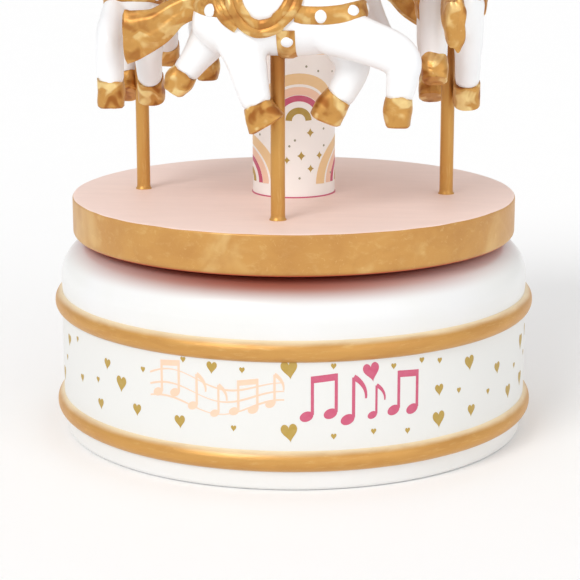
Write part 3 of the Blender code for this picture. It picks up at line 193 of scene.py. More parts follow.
class Finish:
    """A procedural material that is put together in code."""

    def __init__(self, name):
        self.material = bpy.data.materials.new(name)
        self.material.use_nodes = True
        self.tree = self.material.node_tree
        self.tree.nodes.clear()
        self.shader = self.node("BsdfPrincipled")
        output = self.node("OutputMaterial", None, {"Surface": self.shader.outputs[0]})
        output.location = (600, 0)
        self.place = self.node("TexCoord").outputs["Object"]

    def node(self, kind, settings=None, inputs=None):
        """Any node: its settings are set first, then the values or links of its sockets."""
        made = self.tree.nodes.new("ShaderNode" + kind)
        for key, value in (settings or {}).items():
            setattr(made, key, value)
        self.feed(made, inputs or {})
        return made

    def feed(self, made, inputs):
        for key, value in inputs.items():
            socket = made.inputs[key]
            if isinstance(value, Value):
                value = value.socket
            if isinstance(value, bpy.types.NodeSocket):
                self.tree.links.new(value, socket)
            elif socket.type == "RGBA" and len(value) == 3:
                socket.default_value = (*value, 1.0)
            else:
                socket.default_value = value

    def stretched(self, by):
        """The object's own coordinates, stretched so that patterns run along one way."""
        return self.node("VectorMath", {"operation": "MULTIPLY"}, {0: self.place, 1: by}).outputs[0]

    def grain(self, scale, detail=3.0, rough=0.5, distort=0.0, stretch=(1.0, 1.0, 1.0)):
        """Noise between 0 and 1, in patches of about one over scale metres."""
        inputs = {"Vector": self.stretched(stretch), "Scale": scale, "Detail": detail}
        inputs |= {"Roughness": rough, "Distortion": distort}
        return Value(self, self.node("TexNoise", None, inputs).outputs[0])

    def mix(self, first, second, share):
        """Colours mixed by a share from 0 to 1."""
        made = self.node("Mix", {"data_type": "RGBA"}, {0: share, 6: first, 7: second})
        return made.outputs[2]

    def bump(self, height, depth, strength):
        made = self.node("Bump", None, {"Height": height, "Distance": depth, "Strength": strength})
        return made.outputs[0]

    def set(self, **sockets):
        """Feeds the shader. Underscores in a name stand for spaces."""
        self.feed(self.shader, {key.replace("_", " "): value for key, value in sockets.items()})
        return self.material


FINISHES = {}


def finish(name, make, *words, **settings):
    """A material is made once and then shared."""
    if name not in FINISHES:
        FINISHES[name] = make(name, *words, **settings)
    return FINISHES[name]


def height_of(f):
    """How high a point of the surface is."""
    return Value(f, f.node("SeparateXYZ", None, {0: f.place}).outputs["Z"])


def lacquer(name, ground, shade, shade_under_platform=None):
    """Sprayed gloss paint: faint clouds, orange peel and a few worn places. The optional last argument is a
    colour and two heights: from the lower one up, fully from the upper, that colour is laid onto the white
    as painted shade under the platform, weaker to the left and right."""
    f = Finish(name)
    clouds = f.grain(45.0, 3.0, 0.55)
    peel = f.grain(900.0, 2.0, 0.5)
    wear_and_highlight = f.grain(210.0, 4.0, 0.6).step(0.55, 0.75)
    ground = f.mix(ground, shade, clouds.step(0.45, 0.72) * 0.55)
    # Painted shade under the platform: a band at the top of the casing, weaker to the left and right.
    if shade_under_platform:
        tint, low, high = shade_under_platform
        aside = Value(f, f.node("SeparateXYZ", None, {0: f.place}).outputs["X"])
        painted_shade = (height_of(f) + (clouds - 0.5) * 0.0008).step(low, high)
        ground = f.mix(ground, tint, painted_shade * (0.92 - aside * aside * 260.0))
    return f.set(
        Base_Color=ground,
        Roughness=0.30 + wear_and_highlight * 0.10,
        Coat_Weight=0.25,
        Coat_Roughness=0.2,
        Normal=f.bump(peel + clouds * 2.0, 0.00003, 0.5),
    )


def matt_paint(name, ground):
    """Brushed matt paint with faint strokes."""
    f = Finish(name)
    strokes = f.grain(70.0, 5.0, 0.6, 0.4, (1.0, 4.0, 1.0))
    specks = f.grain(1400.0, 2.0, 0.5)
    pale = tuple(min(1.0, c * 1.06) for c in ground)
    deep = tuple(c * 0.93 for c in ground)
    return f.set(
        Base_Color=f.mix(deep, pale, strokes),
        Roughness=0.50 + strokes * 0.12,
        Normal=f.bump(strokes * 2.0 + specks, 0.00003, 0.5),
    )


def gold_paint(name, stretch, scale=170.0, shine=0.6, cast=0.0, leaf=False, crest=None, pool=None):
    """Metallic paint laid on by brush. scale sets how fine its strokes are, and shine is the share of
    metal in it. cast is how strongly painted light follows the bumps of a cast surface: painted shade in
    its low places and painted highlights on its raised ones. leaf gives it the blotches and fine cracks of
    gold leaf.
    Above the height given for a highlight it is painted pale as a highlight; from the lower of the two
    heights given for shade it darkens as painted shade, fully from the upper one up."""
    c = colours()
    f = Finish(name)
    strokes = f.grain(scale * 2.2, 5.0, 0.62, 0.3, stretch)
    pools = f.grain(scale * 0.6, 4.0, 0.55, 0.5, stretch)
    flakes = f.grain(4200.0, 2.0, 0.6)
    tone = f.mix(c.gold_dark, c.gold, 0.80 + pools.step(0.32, 0.60) * 0.20)
    tone = f.mix(tone, c.gold_light, strokes.step(0.52, 0.80) * 0.22 + flakes * 0.06)
    height = strokes * 3.0 + pools * 3.0 + flakes * 0.3
    # Painted highlight along the tops of the beads.
    if crest:
        wear_and_highlight = (height_of(f) + pools * 0.0008).step(crest, crest + 0.0014)
        tone = f.mix(tone, c.gold_highlight, wear_and_highlight * 0.85)
    # Painted shade: darker from the lower height up, fully from the upper one.
    if pool:
        tone = f.mix(tone, c.gold_dark, height_of(f).step(*pool) * 0.85)
    if leaf:
        cracks = f.grain(700.0, 3.0, 0.6, 1.6)
        blotches = f.grain(55.0, 3.0, 0.6, 0.8)
        tone = f.mix(tone, c.gold_dark, 0.10 + blotches.step(0.50, 0.72) * 0.20)
        tone = f.mix(tone, c.gold_light, (1.0 - blotches.step(0.30, 0.48)) * 0.26)
        tone = f.mix(tone, c.gold_light, cracks.step(0.60, 0.70) * blotches.step(0.40, 0.60) * 0.16)
        height = height + cracks * 2.0
    # Painted shade in the low places of the facet bumps and painted highlights on the raised ones.
    if cast:
        facets = f.grain(scale, 1.5, 0.45, 0.7)
        tone = f.mix(tone, c.gold_dark, (1.0 - facets.step(0.30, 0.47)) * cast)
        tone = f.mix(tone, c.gold_light, facets.step(0.53, 0.66) * cast * (0.35 + strokes * 0.7))
        height = height + facets * 14.0 * cast
    return f.set(
        Base_Color=tone,
        Metallic=shine,
        Roughness=0.30 + strokes * 0.12 + flakes * 0.08,
        Normal=f.bump(height, 0.00004, 0.6),
    )


def ink(name, tint):
    """Printed ink, a little uneven, on paper."""
    f = Finish(name)
    patches = f.grain(800.0, 3.0, 0.6)
    fibres = f.grain(2600.0, 2.0, 0.6)
    pale = tuple(c + (1.0 - c) * 0.10 for c in tint)
    return f.set(
        Base_Color=f.mix(tint, pale, patches),
        Roughness=0.42 + fibres * 0.1,
        Normal=f.bump(fibres, 0.00001, 0.4),
    )


def paper(name, ground):
    """Varnished printing paper: fine fibres and faint waves."""
    f = Finish(name)
    fibres = f.grain(1900.0, 4.0, 0.65, 0.2, (1.0, 1.0, 0.45))
    waves = f.grain(60.0, 2.0, 0.5)
    deep = tuple(c * 0.965 for c in ground)
    return f.set(
        Base_Color=f.mix(ground, deep, fibres * 0.5 + waves * 0.4),
        Roughness=0.38 + fibres * 0.10,
        Coat_Weight=0.15,
        Coat_Roughness=0.25,
        Normal=f.bump(fibres + waves * 4.0, 0.00002, 0.5),
    )


def metal(name, tint, gloss, stretch=(1.0, 1.0, 1.0)):
    """Bare metal with fine turning or grinding marks."""
    f = Finish(name)
    marks = f.grain(1500.0, 3.0, 0.6, 0.0, stretch)
    stains = f.grain(160.0, 3.0, 0.6)
    deep = tuple(c * 0.78 for c in tint)
    return f.set(
        Base_Color=f.mix(tint, deep, stains.step(0.45, 0.75)),
        Metallic=1.0,
        Roughness=gloss + marks * 0.16,
        Normal=f.bump(marks, 0.00002, 0.4),
    )


def hardboard(name, tint):
    """Matt black pressed board."""
    f = Finish(name)
    chips = f.grain(900.0, 4.0, 0.7)
    pale = tuple(c + 0.03 for c in tint)
    return f.set(
        Base_Color=f.mix(tint, pale, chips),
        Roughness=0.75 + chips * 0.15,
        Normal=f.bump(chips, 0.00006, 0.6),
    )


def nylon(name, tint):
    """Moulded plastic with a faint texture."""
    f = Finish(name)
    skin = f.grain(700.0, 3.0, 0.5)
    deep = tuple(c * 0.93 for c in tint)
    return f.set(
        Base_Color=f.mix(tint, deep, skin), Roughness=0.35 + skin * 0.12, Normal=f.bump(skin, 0.00002, 0.4)
    )


def white():
    return finish("white_lacquer", lacquer, colours().white, colours().white_shade)


def pink():
    return finish("pink_paint", matt_paint, colours().pink)


def rim_gold():
    return finish("rim_gold", gold_paint, (1.0, 1.0, 5.0))


def pole_gold():
    s = sizes()
    # Painted shade on the pole from just under the horse's belly upwards.
    pool = (s.platform_top + s.belly * 0.55, s.platform_top + s.belly * 0.95)
    return finish("pole_gold", gold_paint, (3.0, 3.0, 0.3), pool=pool)


# Horse and hoof gold carry painted highlights and painted shade through cast.
def horse_gold():
    return finish("horse_gold", gold_paint, (0.8, 1.0, 1.3), cast=0.66, scale=250.0)


def hoof_gold():
    return finish("hoof_gold", gold_paint, (0.8, 1.0, 0.9), cast=1.0, scale=250.0)


def leaf_gold():
    return finish("leaf_gold", gold_paint, (1.0, 1.0, 1.6), leaf=True, shine=0.25)


def bead_gold(name, height):
    # Painted highlight on the top of each bead.
    return finish(
        name + "_paint", gold_paint, (1.0, 1.0, 6.0), scale=120.0, crest=height + 0.0016, shine=0.4
    )


def olive_ink():
    return finish("olive_ink", ink, colours().olive)


def steel():
    return finish("steel", metal, (0.62, 0.62, 0.64), 0.24)


def brass():
    return finish("brass", metal, (0.80, 0.60, 0.29), 0.22)


# --- mesh helpers -------------------------------------------------------------------------------------
def publish(name, mesh_or_bm, body, replaced, materials, matrix=None, sharp=40.0):
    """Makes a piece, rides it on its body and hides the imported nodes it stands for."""
    mesh = mesh_or_bm
    if isinstance(mesh_or_bm, bmesh.types.BMesh):
        bmesh.ops.recalc_face_normals(mesh_or_bm, faces=mesh_or_bm.faces)
        mesh = bpy.data.meshes.new(name)
        mesh_or_bm.to_mesh(mesh)
        mesh_or_bm.free()
        mesh.shade_smooth()
        mesh.set_sharp_from_angle(angle=math.radians(sharp))
    if not mesh.materials:
        for made in materials:
            mesh.materials.append(made)
    piece = bpy.data.objects.new(name, mesh)
    bpy.context.scene.collection.objects.link(piece)
    if matrix is not None:
        piece.matrix_world = matrix
    bpy.context.view_layer.update()
    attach(piece, body)
    if replaced:
        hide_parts(*replaced)
    return piece


def loft(bm, rings, loop=False, slots=None):
    """Quads between rings of points. An open one has its two ends closed. slots gives each band's
    material."""
    made = [[bm.verts.new(p) for p in ring] for ring in rings]
    pairs = list(zip(made, made[1:]))
    if loop:
        pairs.append((made[-1], made[0]))
    count = len(made[0])
    for one, two in pairs:
        for k in range(count):
            m = (k + 1) % count
            face = bm.faces.new((one[k], one[m], two[m], two[k]))
            if slots:
                face.material_index = slots[k]
    if not loop:
        bm.faces.new(made[0][::-1])
        bm.faces.new(made[-1])
    return bm


def turned(profile, steps, slots=None):
    """A closed profile of (radius, height) turned about Z. The profile stays off the axis."""
    rings = []
    for k in range(steps):
        a = math.tau * k / steps
        rings.append([Vector((r * math.cos(a), r * math.sin(a), z)) for r, z in profile])
    return loft(bmesh.new(), rings, loop=True, slots=slots)


def turned_solid(bm, profile, steps):
    """A profile that starts and ends on the axis, turned about Z."""
    first = bm.verts.new((0.0, 0.0, profile[0][1]))
    last = bm.verts.new((0.0, 0.0, profile[-1][1]))
    rings = []
    for r, z in profile[1:-1]:
        turn = [math.tau * k / steps for k in range(steps)]
        rings.append([bm.verts.new((r * math.cos(a), r * math.sin(a), z)) for a in turn])
    for k in range(steps):
        m = (k + 1) % steps
        bm.faces.new((first, rings[0][m], rings[0][k]))
        bm.faces.new((last, rings[-1][k], rings[-1][m]))
        for one, two in zip(rings, rings[1:]):
            bm.faces.new((one[k], one[m], two[m], two[k]))
    return bm


def arc(centre_r, centre_z, radius, start, end, steps):
    """Profile points on an arc, angles in degrees from the outward direction."""
    turn = [math.radians(start + (end - start) * k / steps) for k in range(steps + 1)]
    return [(centre_r + radius * math.cos(a), centre_z + radius * math.sin(a)) for a in turn]


def spline(stations, steps):
    """A smooth run through a table's rows, with this many steps between two rows."""
    rows = [stations[0], *stations, stations[-1]]
    smooth = []
    for before, start, end, after in zip(rows, rows[1:], rows[2:], rows[3:]):
        for k in range(steps):
            t = k / steps
            row = []
            for a, b, c, d in zip(before, start, end, after):
                row.append(
                    0.5 * (
                        2 * b + (c - a) * t + (2 * a - 5 * b + 4 * c - d) * t**2 + (
                            3 * b - a - 3 * c + d
                        ) * t**3
                    )
                )
            smooth.append(tuple(row))
    smooth.append(tuple(stations[-1]))
    return smooth


# --- prints on round walls ----------------------------------------------------------------------------
class Wall:
    """A round wall that motifs are printed on. A place is (millimetres to the right, height in
    millimetres) from a middle that is given in degrees from the front."""

    def __init__(self, radius, degrees):
        self.radius = radius
        self.middle = math.radians(degrees - 90.0)

    def point(self, along, height, lift):
        a = self.middle + along * MM / self.radius
        r = self.radius + lift
        return Vector((r * math.cos(a), r * math.sin(a), height * MM))


def patch(bm, wall, outline, centre):
    """A filled motif: its edge goes once round the centre."""
    thick = sizes().ink
    faces = []
    for lift in (thick, -thick):
        hub = bm.verts.new(wall.point(*centre, lift))
        faces.append((hub, [bm.verts.new(wall.point(s, h, lift)) for s, h in outline]))
    (top_hub, top), (low_hub, low) = faces
    for k in range(len(outline)):
        m = (k + 1) % len(outline)
        bm.faces.new((top_hub, top[k], top[m]))
        bm.faces.new((low_hub, low[m], low[k]))
        bm.faces.new((top[k], low[k], low[m], top[m]))


def stroke(bm, wall, path, widths):
    """A drawn line with a width at each of its points."""
    thick = sizes().ink
    rings = []
    for k, (s, h) in enumerate(path):
        s0, h0 = path[max(k - 1, 0)]
        s1, h1 = path[min(k + 1, len(path) - 1)]
        run = math.hypot(s1 - s0, h1 - h0) or 1.0
        across = (-(h1 - h0) / run * widths[k] / 2, (s1 - s0) / run * widths[k] / 2)
        spots = [(s + across[0] * t, h + across[1] * t) for t in (1.0, 0.5, 0.0, -0.5, -1.0)]
        ring = [wall.point(*spot, thick) for spot in spots]
        ring += [wall.point(*spot, -thick) for spot in reversed(spots)]
        rings.append(ring)
    loft(bm, rings)


def placed(outline, centre, size, degrees=0.0):
    """An outline scaled, turned and moved to its place."""
    c, s = math.cos(math.radians(degrees)), math.sin(math.radians(degrees))
    return [(centre[0] + size * (x * c - y * s), centre[1] + size * (x * s + y * c)) for x, y in outline]


def heart_outline():
    """A slim heart, one unit wide, drawn round its middle."""
    outline = []
    for k in range(36):
        t = math.tau * k / 36
        x = math.sin(t) ** 3 * 0.5 * (1.0 + 0.06 * math.cos(t))
        y = (13 * math.cos(t) - 5 * math.cos(2 * t) - 2 * math.cos(3 * t) - math.cos(4 * t)) / 29
        outline.append((x, y * 1.16))
    return outline


def sparkle_outline():
    """A four-pointed star with sides that curve in."""
    turn = [math.tau * k / 32 for k in range(32)]
    return [(0.5 * math.cos(a) ** 3, 0.56 * math.sin(a) ** 3) for a in turn]


def dot_outline():
    return [(0.5 * math.cos(math.tau * k / 10), 0.5 * math.sin(math.tau * k / 10)) for k in range(10)]


def note(bm, wall, at, height, tailed=True):
    """A note with an oval head, a stem and a curved tail."""
    x, y = at
    head = [(math.cos(math.tau * k / 24) * 0.5, math.sin(math.tau * k / 24) * 0.36) for k in range(24)]
    patch(bm, wall, placed(head, at, height * 0.34, 24), at)
    side, top = x + height * 0.14, y + height
    thin = height * 0.075
    stroke(bm, wall, [(side, y + height * 0.04), (side, y + height / 2), (side, top)], [thin] * 3)
    if tailed:
        path = [
            (side + height * 0.30 * math.sin(0.19 * k), top - height * 0.52 * (k / 9) ** 1.3)
            for k in range(10)
        ]
        stroke(bm, wall, path, [thin * (1.9 - 1.3 * k / 9) for k in range(10)])


def joined_notes(bm, wall, at, height, spread, lean):
    """Two notes under one beam."""
    x, y = at
    for shift in (0.0, spread):
        note(bm, wall, (x + shift, y + lean * shift), height, tailed=False)
    thin = height * 0.17
    left = (x + height * 0.14, y + height - thin / 2)
    right = (left[0] + spread, left[1] + lean * spread)
    middle = ((left[0] + right[0]) / 2, (left[1] + right[1]) / 2)
    stroke(bm, wall, [left, middle, right], [thin] * 3)


# --- stage --------------------------------------------------------------------------------------------
FLOOR_HALF = 3.0
SKY = (0.70, 0.78)  # strength at the horizon and overhead
SUNS = (  # name, strength, spread in degrees and where it stands
    ("key_light", 1.15, 25.0, (-0.42, -0.8, 0.72)),
    ("fill_light", 0.45, 50.0, (0.8, -0.9, 0.42)),
)
CAMERA_AZIMUTH = 5.5
CAMERA_PITCH = 13.2
CAMERA_AIM = 0.0322  # height of the point that it looks at
CAMERA_DISTANCE = 0.452
CAMERA_LENS = 115.2
CAMERA_SHIFT = -0.0065


def soft_sun(name, strength, spread, place):
    data = bpy.data.lights.new(name, "SUN")
    data.energy = strength
    data.angle = math.radians(spread)
    light = bpy.data.objects.new(name, data)
    light.rotation_euler = (-Vector(place)).to_track_quat("-Z", "Y").to_euler()
    bpy.context.scene.collection.objects.link(light)


class CAROUSEL_OT_stage(bpy.types.Operator):
    """Sets out the floor, the soft lights and the camera"""

    bl_idname = "carousel.stage"
    bl_label = "Stage"

    def execute(self, context):
        scene = context.scene
        floor = bmesh.new()
        bmesh.ops.create_grid(floor, x_segments=1, y_segments=1, size=FLOOR_HALF)
        mesh = bpy.data.meshes.new("floor")
        floor.to_mesh(mesh)
        floor.free()
        ground = bpy.data.objects.new("floor", mesh)
        ground.location.z = -0.00003
        scene.collection.objects.link(ground)
        pale = Finish("floor_white")
        dust = pale.grain(30.0)
        mesh.materials.append(
            pale.set(Base_Color=pale.mix((0.975, 0.975, 0.975), (0.985, 0.985, 0.985), dust), Roughness=0.9)
        )

        world = bpy.data.worlds.new("studio")
        world.use_nodes = True
        nodes, links = world.node_tree.nodes, world.node_tree.links
        height = nodes.new("ShaderNodeSeparateXYZ")
        links.new(nodes.new("ShaderNodeTexCoord").outputs["Generated"], height.inputs[0])
        sky = nodes.new("ShaderNodeMapRange")
        links.new(height.outputs["Z"], sky.inputs["Value"])
        sky.inputs["To Min"].default_value, sky.inputs["To Max"].default_value = SKY
        nodes["Background"].inputs["Color"].default_value = (1.0, 1.0, 1.0, 1.0)
        links.new(sky.outputs[0], nodes["Background"].inputs["Strength"])
        scene.world = world
        scene.view_settings.view_transform = "Standard"
        for sun in SUNS:
            soft_sun(*sun)

        azimuth, pitch = math.radians(CAMERA_AZIMUTH), math.radians(CAMERA_PITCH)
        data = bpy.data.cameras.new("camera")
        data.lens, data.sensor_width = CAMERA_LENS, 36.0
        data.shift_x = CAMERA_SHIFT
        data.clip_start = 0.01
        camera = bpy.data.objects.new("camera", data)
        back = Vector(
            (math.sin(azimuth) * math.cos(pitch), -math.cos(azimuth) * math.cos(pitch), math.sin(pitch))
        )
        camera.location = Vector((0.0, 0.0, CAMERA_AIM)) + back * CAMERA_DISTANCE
        camera.rotation_euler = (math.pi / 2 - pitch, 0.0, azimuth)
        scene.collection.objects.link(camera)
        scene.camera = camera
        return {"FINISHED"}


# --- base ---------------------------------------------------------------------------------------------
BAND_REPEAT = 150  # degrees from the front hearts to the same ones at the back
BAND_HEARTS = (  # degrees from the front, height and width in mm
    (-43, 24, 2.2),
    (-55, 18, 1.6),
    (-38, 20.4, 3.2),
    (-46, 14, 2.2),
    (-33, 15.3, 2.4),
    (-13, 27.6, 2.4),
    (4.5, 28.0, 3.6),
    (-21, 14.5, 2.6),
    (4.5, 13.8, 3.6),
    (40.5, 13.8, 3.3),
    (40.5, 20.5, 2.3),
    (51, 13.8, 2.4),
    (50, 25.1, 3.0),
    (61.5, 21.5, 2.4),
    (68, 14.4, 2.8),
    (-64, 25, 2.4),
    (-72, 15, 3.0),
    (78, 24, 3.2),
)
BAND_TINY_HEARTS = (
    (-31, 24.8),
    (-6, 27.4),
    (-8, 14.2),
    (14.4, 12.6),
    (14.3, 28.4),
    (23.6, 13.1),
    (32, 12.3),
    (28.3, 27.4),
    (35.5, 27.9),
    (40.5, 27.1),
    (46.6, 19.2),
    (57.5, 16.7),
    (-57.5, 26.6),
    (-47, 19.4),
    (-20, 28.6),
    (-67, 20),
    (72, 19.5),
)

BAND_BACK_HEARTS = (
    (156, 20, 2.6),
    (140, 18, 3.2),
    (122, 21, 2.4),
    (172, 22, 3.0),
    (186, 16, 2.4),
    (-82, 20, 2.6),
    (-100, 25, 3.2),
    (-96, 15, 2.2),
    (-112, 19, 2.8),
    (-122, 13, 2.2),
    (-126, 26, 2.4),
)


def bead_profile(z):
    s = sizes()
    centre = s.case_radius + s.bead_stand - s.bead_radius
    foot = math.degrees(math.acos((s.case_radius - centre) / s.bead_radius))
    return arc(centre, z, s.bead_radius, -foot, foot, 16)


class CAROUSEL_OT_base(bpy.types.Operator):
    """Builds the base: casing, beads and printed band"""

    bl_idname = "carousel.base"
    bl_label = "Base"

    def execute(self, context):
        s = sizes()
        self.casing(s)
        self.beads(s)
        self.band(s)
        self.prints(s)
        return {"FINISHED"}

    def casing(self, s):
        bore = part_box("bottom_cover")[1].x + 0.0003
        wall = s.case_radius - 0.0003
        ceiling = s.case_height - 0.0050
        rounding = 0.0012
        profile = [(bore, 0.0), (bore, ceiling), (0.0042, ceiling), (0.0042, s.case_height)]
        profile += reversed(
            arc(s.case_radius - s.shoulder, s.case_height - s.shoulder, s.shoulder, 0, 90, 20)
        )
        profile += [(wall, s.upper_bead), (wall, s.lower_bead + s.bead_radius)]
        profile += [(s.case_radius - 0.0001, s.lower_bead), (s.foot_radius + 0.0001, rounding * 2)]
        profile += reversed(arc(s.foot_radius - rounding, rounding, rounding, -90, 0, 6))
        # Painted shade under the platform, laid on the casing's white.
        painted_shade = (colours().shade_under_platform, s.case_height - 0.0046, s.case_height - 0.0008)
        # The casing's white is set darker than the horses' white as painted shade.
        coat = finish("casing_lacquer", lacquer, colours().casing_white, colours().white_shade, painted_shade)
        publish("casing", turned(profile, 160), "base", ["base_casing"], [coat], sharp=50)

    def beads(self, s):
        for name, z in (("gold_bead_lower", s.lower_bead), ("gold_bead_upper", s.upper_bead)):
            section = bead_profile(z)
            inner = s.case_radius - 0.0004
            section = [(inner, section[0][1]), *section, (inner, section[-1][1])]
            bm = turned(section, 220)
            for v in bm.verts:
                out = Vector((v.co.x, v.co.y, 0)).normalized()
                wave = noise.noise(Vector((v.co.x * 90, v.co.y * 90, z * 500)))
                v.co += out * wave * 0.00005 + Vector((0, 0, wave * 0.00006))
            publish(name, bm, "base", [], [bead_gold(name, z)])

    def band(self, s):
        inner = s.case_radius - 0.0004
        low = s.lower_bead + s.bead_radius - 0.0003
        high = s.upper_bead - s.bead_radius + 0.0003
        profile = [(inner, low), (inner, high), (s.case_radius, high), (s.case_radius, low)]
        # The band's paper is set darker as painted shade, like the casing's white.
        made = finish("band_paper", paper, colours().paper)
        publish("print_band", turned(profile, 160), "base", ["base_print_band"], [made])

    def prints(self, s):
        """Hearts all round, a staff with notes at the front left and a row of notes at the front right."""
        hearts, outline = bmesh.new(), heart_outline()
        for turn in (0, BAND_REPEAT):
            for degrees, height, width in BAND_HEARTS:
                wall = Wall(s.case_radius, degrees + turn)
                patch(hearts, wall, placed(outline, (0, height), width, degrees * 7 % 16 - 8), (0, height))
            for degrees, height in BAND_TINY_HEARTS:
                wall = Wall(s.case_radius, degrees + turn)
                patch(hearts, wall, placed(outline, (0, height), 1.2), (0, height))
        for degrees, height, width in BAND_BACK_HEARTS:
            wall = Wall(s.case_radius, degrees)
            patch(hearts, wall, placed(outline, (0, height), width), (0, height))
        publish("band_hearts", hearts, "base", [], [olive_ink()])
        self.staff(s)
        self.notes(s)

    def staff(self, s):
        """Three thin waving lines with light notes on them."""
        wall = Wall(s.case_radius, -13.0)
        bm = bmesh.new()
        for line in range(3):
            path, widths = [], []
            for k in range(61):
                t = k / 60
                sway = 1.5 * math.sin(t * math.tau * 1.2 + 0.4)
                path.append((-15.5 + 31.5 * t, 21.4 + sway + (line - 1) * (2.6 + 0.7 * math.sin(t * 5.0))))
                widths.append(0.30 + 0.12 * math.sin(t * 9.0 + line))
            stroke(bm, wall, path, widths)
        joined_notes(bm, wall, (-13.4, 20.4), 7.4, 4.4, 0.10)
        note(bm, wall, (-4.6, 18.4), 7.2)
        note(bm, wall, (0.6, 17.2), 6.4)
        joined_notes(bm, wall, (5.0, 18.0), 7.0, 4.2, 0.14)
        note(bm, wall, (13.0, 20.0), 6.6)
        tint = finish("peach_ink", ink, colours().peach)
        publish("band_staff", bm, "base", [], [tint])

    def notes(self, s):
        """Bold notes under a heart."""
        wall = Wall(s.case_radius, 21.0)
        bm = bmesh.new()
        joined_notes(bm, wall, (-12.4, 17.2), 9.0, 5.2, 0.10)
        note(bm, wall, (-3.4, 16.2), 9.4)
        note(bm, wall, (2.2, 16.8), 6.6)
        joined_notes(bm, wall, (7.2, 17.4), 8.8, 4.6, -0.06)
        centre = (1.9, 26.8)
        patch(bm, wall, placed(heart_outline(), centre, 3.7, 10), centre)
        tint = finish("raspberry_ink", ink, colours().raspberry)
        publish("band_notes", bm, "base", [], [tint])


# --- platform, column and poles -----------------------------------------------------------------------
POLE_DEGREES = {"front": 270, "right": 0, "back": 90, "left": 180}


def pole_places():
    s = sizes()
    for side, degrees in POLE_DEGREES.items():
        a = math.radians(degrees)
        yield side, s.pole_circle * math.cos(a), s.pole_circle * math.sin(a)


class CAROUSEL_OT_platform(bpy.types.Operator):
    """Builds the platform with its gold rim"""

    bl_idname = "carousel.platform"
    bl_label = "Platform"

    def execute(self, context):
        s = sizes()
        soft, crisp, bore = 0.0014, 0.0006, 0.0023
        underside = [(bore, s.platform_low)]
        underside += arc(s.platform_radius - soft, s.platform_low + soft, soft, -90, -45, 4)
        rim = arc(s.platform_radius - soft, s.platform_low + soft, soft, -30, 0, 3)
        rim += [(s.platform_radius, s.platform_top - 0.003)]
        rim += arc(s.platform_radius - crisp, s.platform_top - crisp, crisp, 0, 35, 4)
        edge = s.platform_radius - crisp + crisp * math.cos(math.radians(50))
        top = arc(s.platform_radius - crisp, s.platform_top - crisp, crisp, 50, 90, 4)
        top += [(s.platform_radius - 0.005, s.platform_top), (0.02, s.platform_top), (bore, s.platform_top)]
        profile = underside + rim + top
        slots = [2] * len(underside) + [1] * len(rim) + [0] * len(top)
        under = finish("underside_paint", matt_paint, colours().underside)
        slots[len(underside) - 1] = 1
        bm = turned(profile, 220, slots)
        for v in bm.verts:
            r = math.hypot(v.co.x, v.co.y)
            if abs(r - edge) < 1e-6:
                wave = noise.noise(Vector((v.co.x, v.co.y, 0.3)) * 160) * 0.00012
                v.co.z += wave
        coats = [pink(), leaf_gold(), under]
        publish("platform", bm, "turntable", ["turntable_disc"], coats, sharp=50)
        return {"FINISHED"}


class CAROUSEL_OT_column(bpy.types.Operator):
    """Builds the centre column with its printed arcs and sparkles"""

    bl_idname = "carousel.column"
    bl_label = "Centre column"

    ARCS = (  # name, colour, radius and width in mm
        ("apricot_arcs", "apricot", 9.8, 2.5),
        ("peach_arcs", "peach", 7.0, 1.85),
        ("raspberry_arcs", "raspberry", 5.25, 1.4),
        ("olive_arcs", "olive", 2.35, 1.5),
    )
    SPARKLES = ((2.8, -2.9, 2.0), (0.6, -8.3, 2.1), (5.3, -8.4, 1.8), (2.9, -11.4, 1.8), (-2.8, -9.3, 1.7))
    DOTS = (
        (-0.9, -4.6),
        (-2.2, -6.0),
        (6.6, -2.2),
        (6.7, -6.2),
        (0.2, -13.6),
        (1.8, 12.6),
        (4.9, 11.4),
        (-5.2, -4.3),
        (9.4, -13.0),
    )

    def execute(self, context):
        s = sizes()
        low, high = COLUMN[0].z - 0.0002, COLUMN[1].z
        inner, soft = 0.0046, 0.0002
        profile = [(inner, low), (s.column_radius - soft, low), (s.column_radius, low + soft)]
        profile += [(s.column_radius, high), (inner, high)]
        made = finish("column_paper", paper, colours().column_paper)
        gone = ["column_print_wrap", "centre_column"]
        publish("column", turned(profile, 160), "turntable", gone, [made])
        # Painted shadow and reflection: a thin raspberry ring where the column meets the platform.
        line = [
            (s.column_radius - 0.0005, s.platform_top - 0.0001),
            (s.column_radius + 0.0002, s.platform_top - 0.0001),
            (s.column_radius + 0.0002, s.platform_top + 0.0002),
            (s.column_radius - 0.0005, s.platform_top + 0.0004),
        ]
        tint = finish("raspberry_ink", ink, colours().raspberry)
        publish("column_foot_shadow", turned(line, 96), "turntable", [], [tint])
        rows = []
        for k in range(5):
            for turn in (0, 180):
                rows.append((12.3 + turn + (90 if k % 2 == 0 else 0), 59.8 + 15.2 * k))
        for name, tint, radius, width in self.ARCS:
            bm = bmesh.new()
            for degrees, base in rows:
                wall = Wall(s.column_radius, degrees)
                path = [(-radius, base)]
                path += [
                    (-radius * math.cos(math.pi * k / 28), base + radius * math.sin(math.pi * k / 28))
                    for k in range(1, 28)
                ]
                path.append((radius, base))
                stroke(bm, wall, path, [width] * len(path))
            made = finish(tint + "_ink", ink, getattr(colours(), tint))
            publish(name, bm, "turntable", [], [made])
        sparkles, dots = bmesh.new(), bmesh.new()
        for degrees, base in rows:
            wall = Wall(s.column_radius, degrees)
            for along, height, size in self.SPARKLES:
                at = (along, base + height)
                if at[1] > low / MM + 1:
                    patch(sparkles, wall, placed(sparkle_outline(), at, size), at)
            for along, height in self.DOTS:
                at = (along, base + height)
                if low / MM + 1 < at[1] < high / MM - 1:
                    patch(dots, wall, placed(dot_outline(), at, 0.55), at)
        publish("column_sparkles", sparkles, "turntable", [], [olive_ink()])
        made = finish("grey_ink", ink, colours().grey)
        publish("column_dots", dots, "turntable", [], [made])
        return {"FINISHED"}


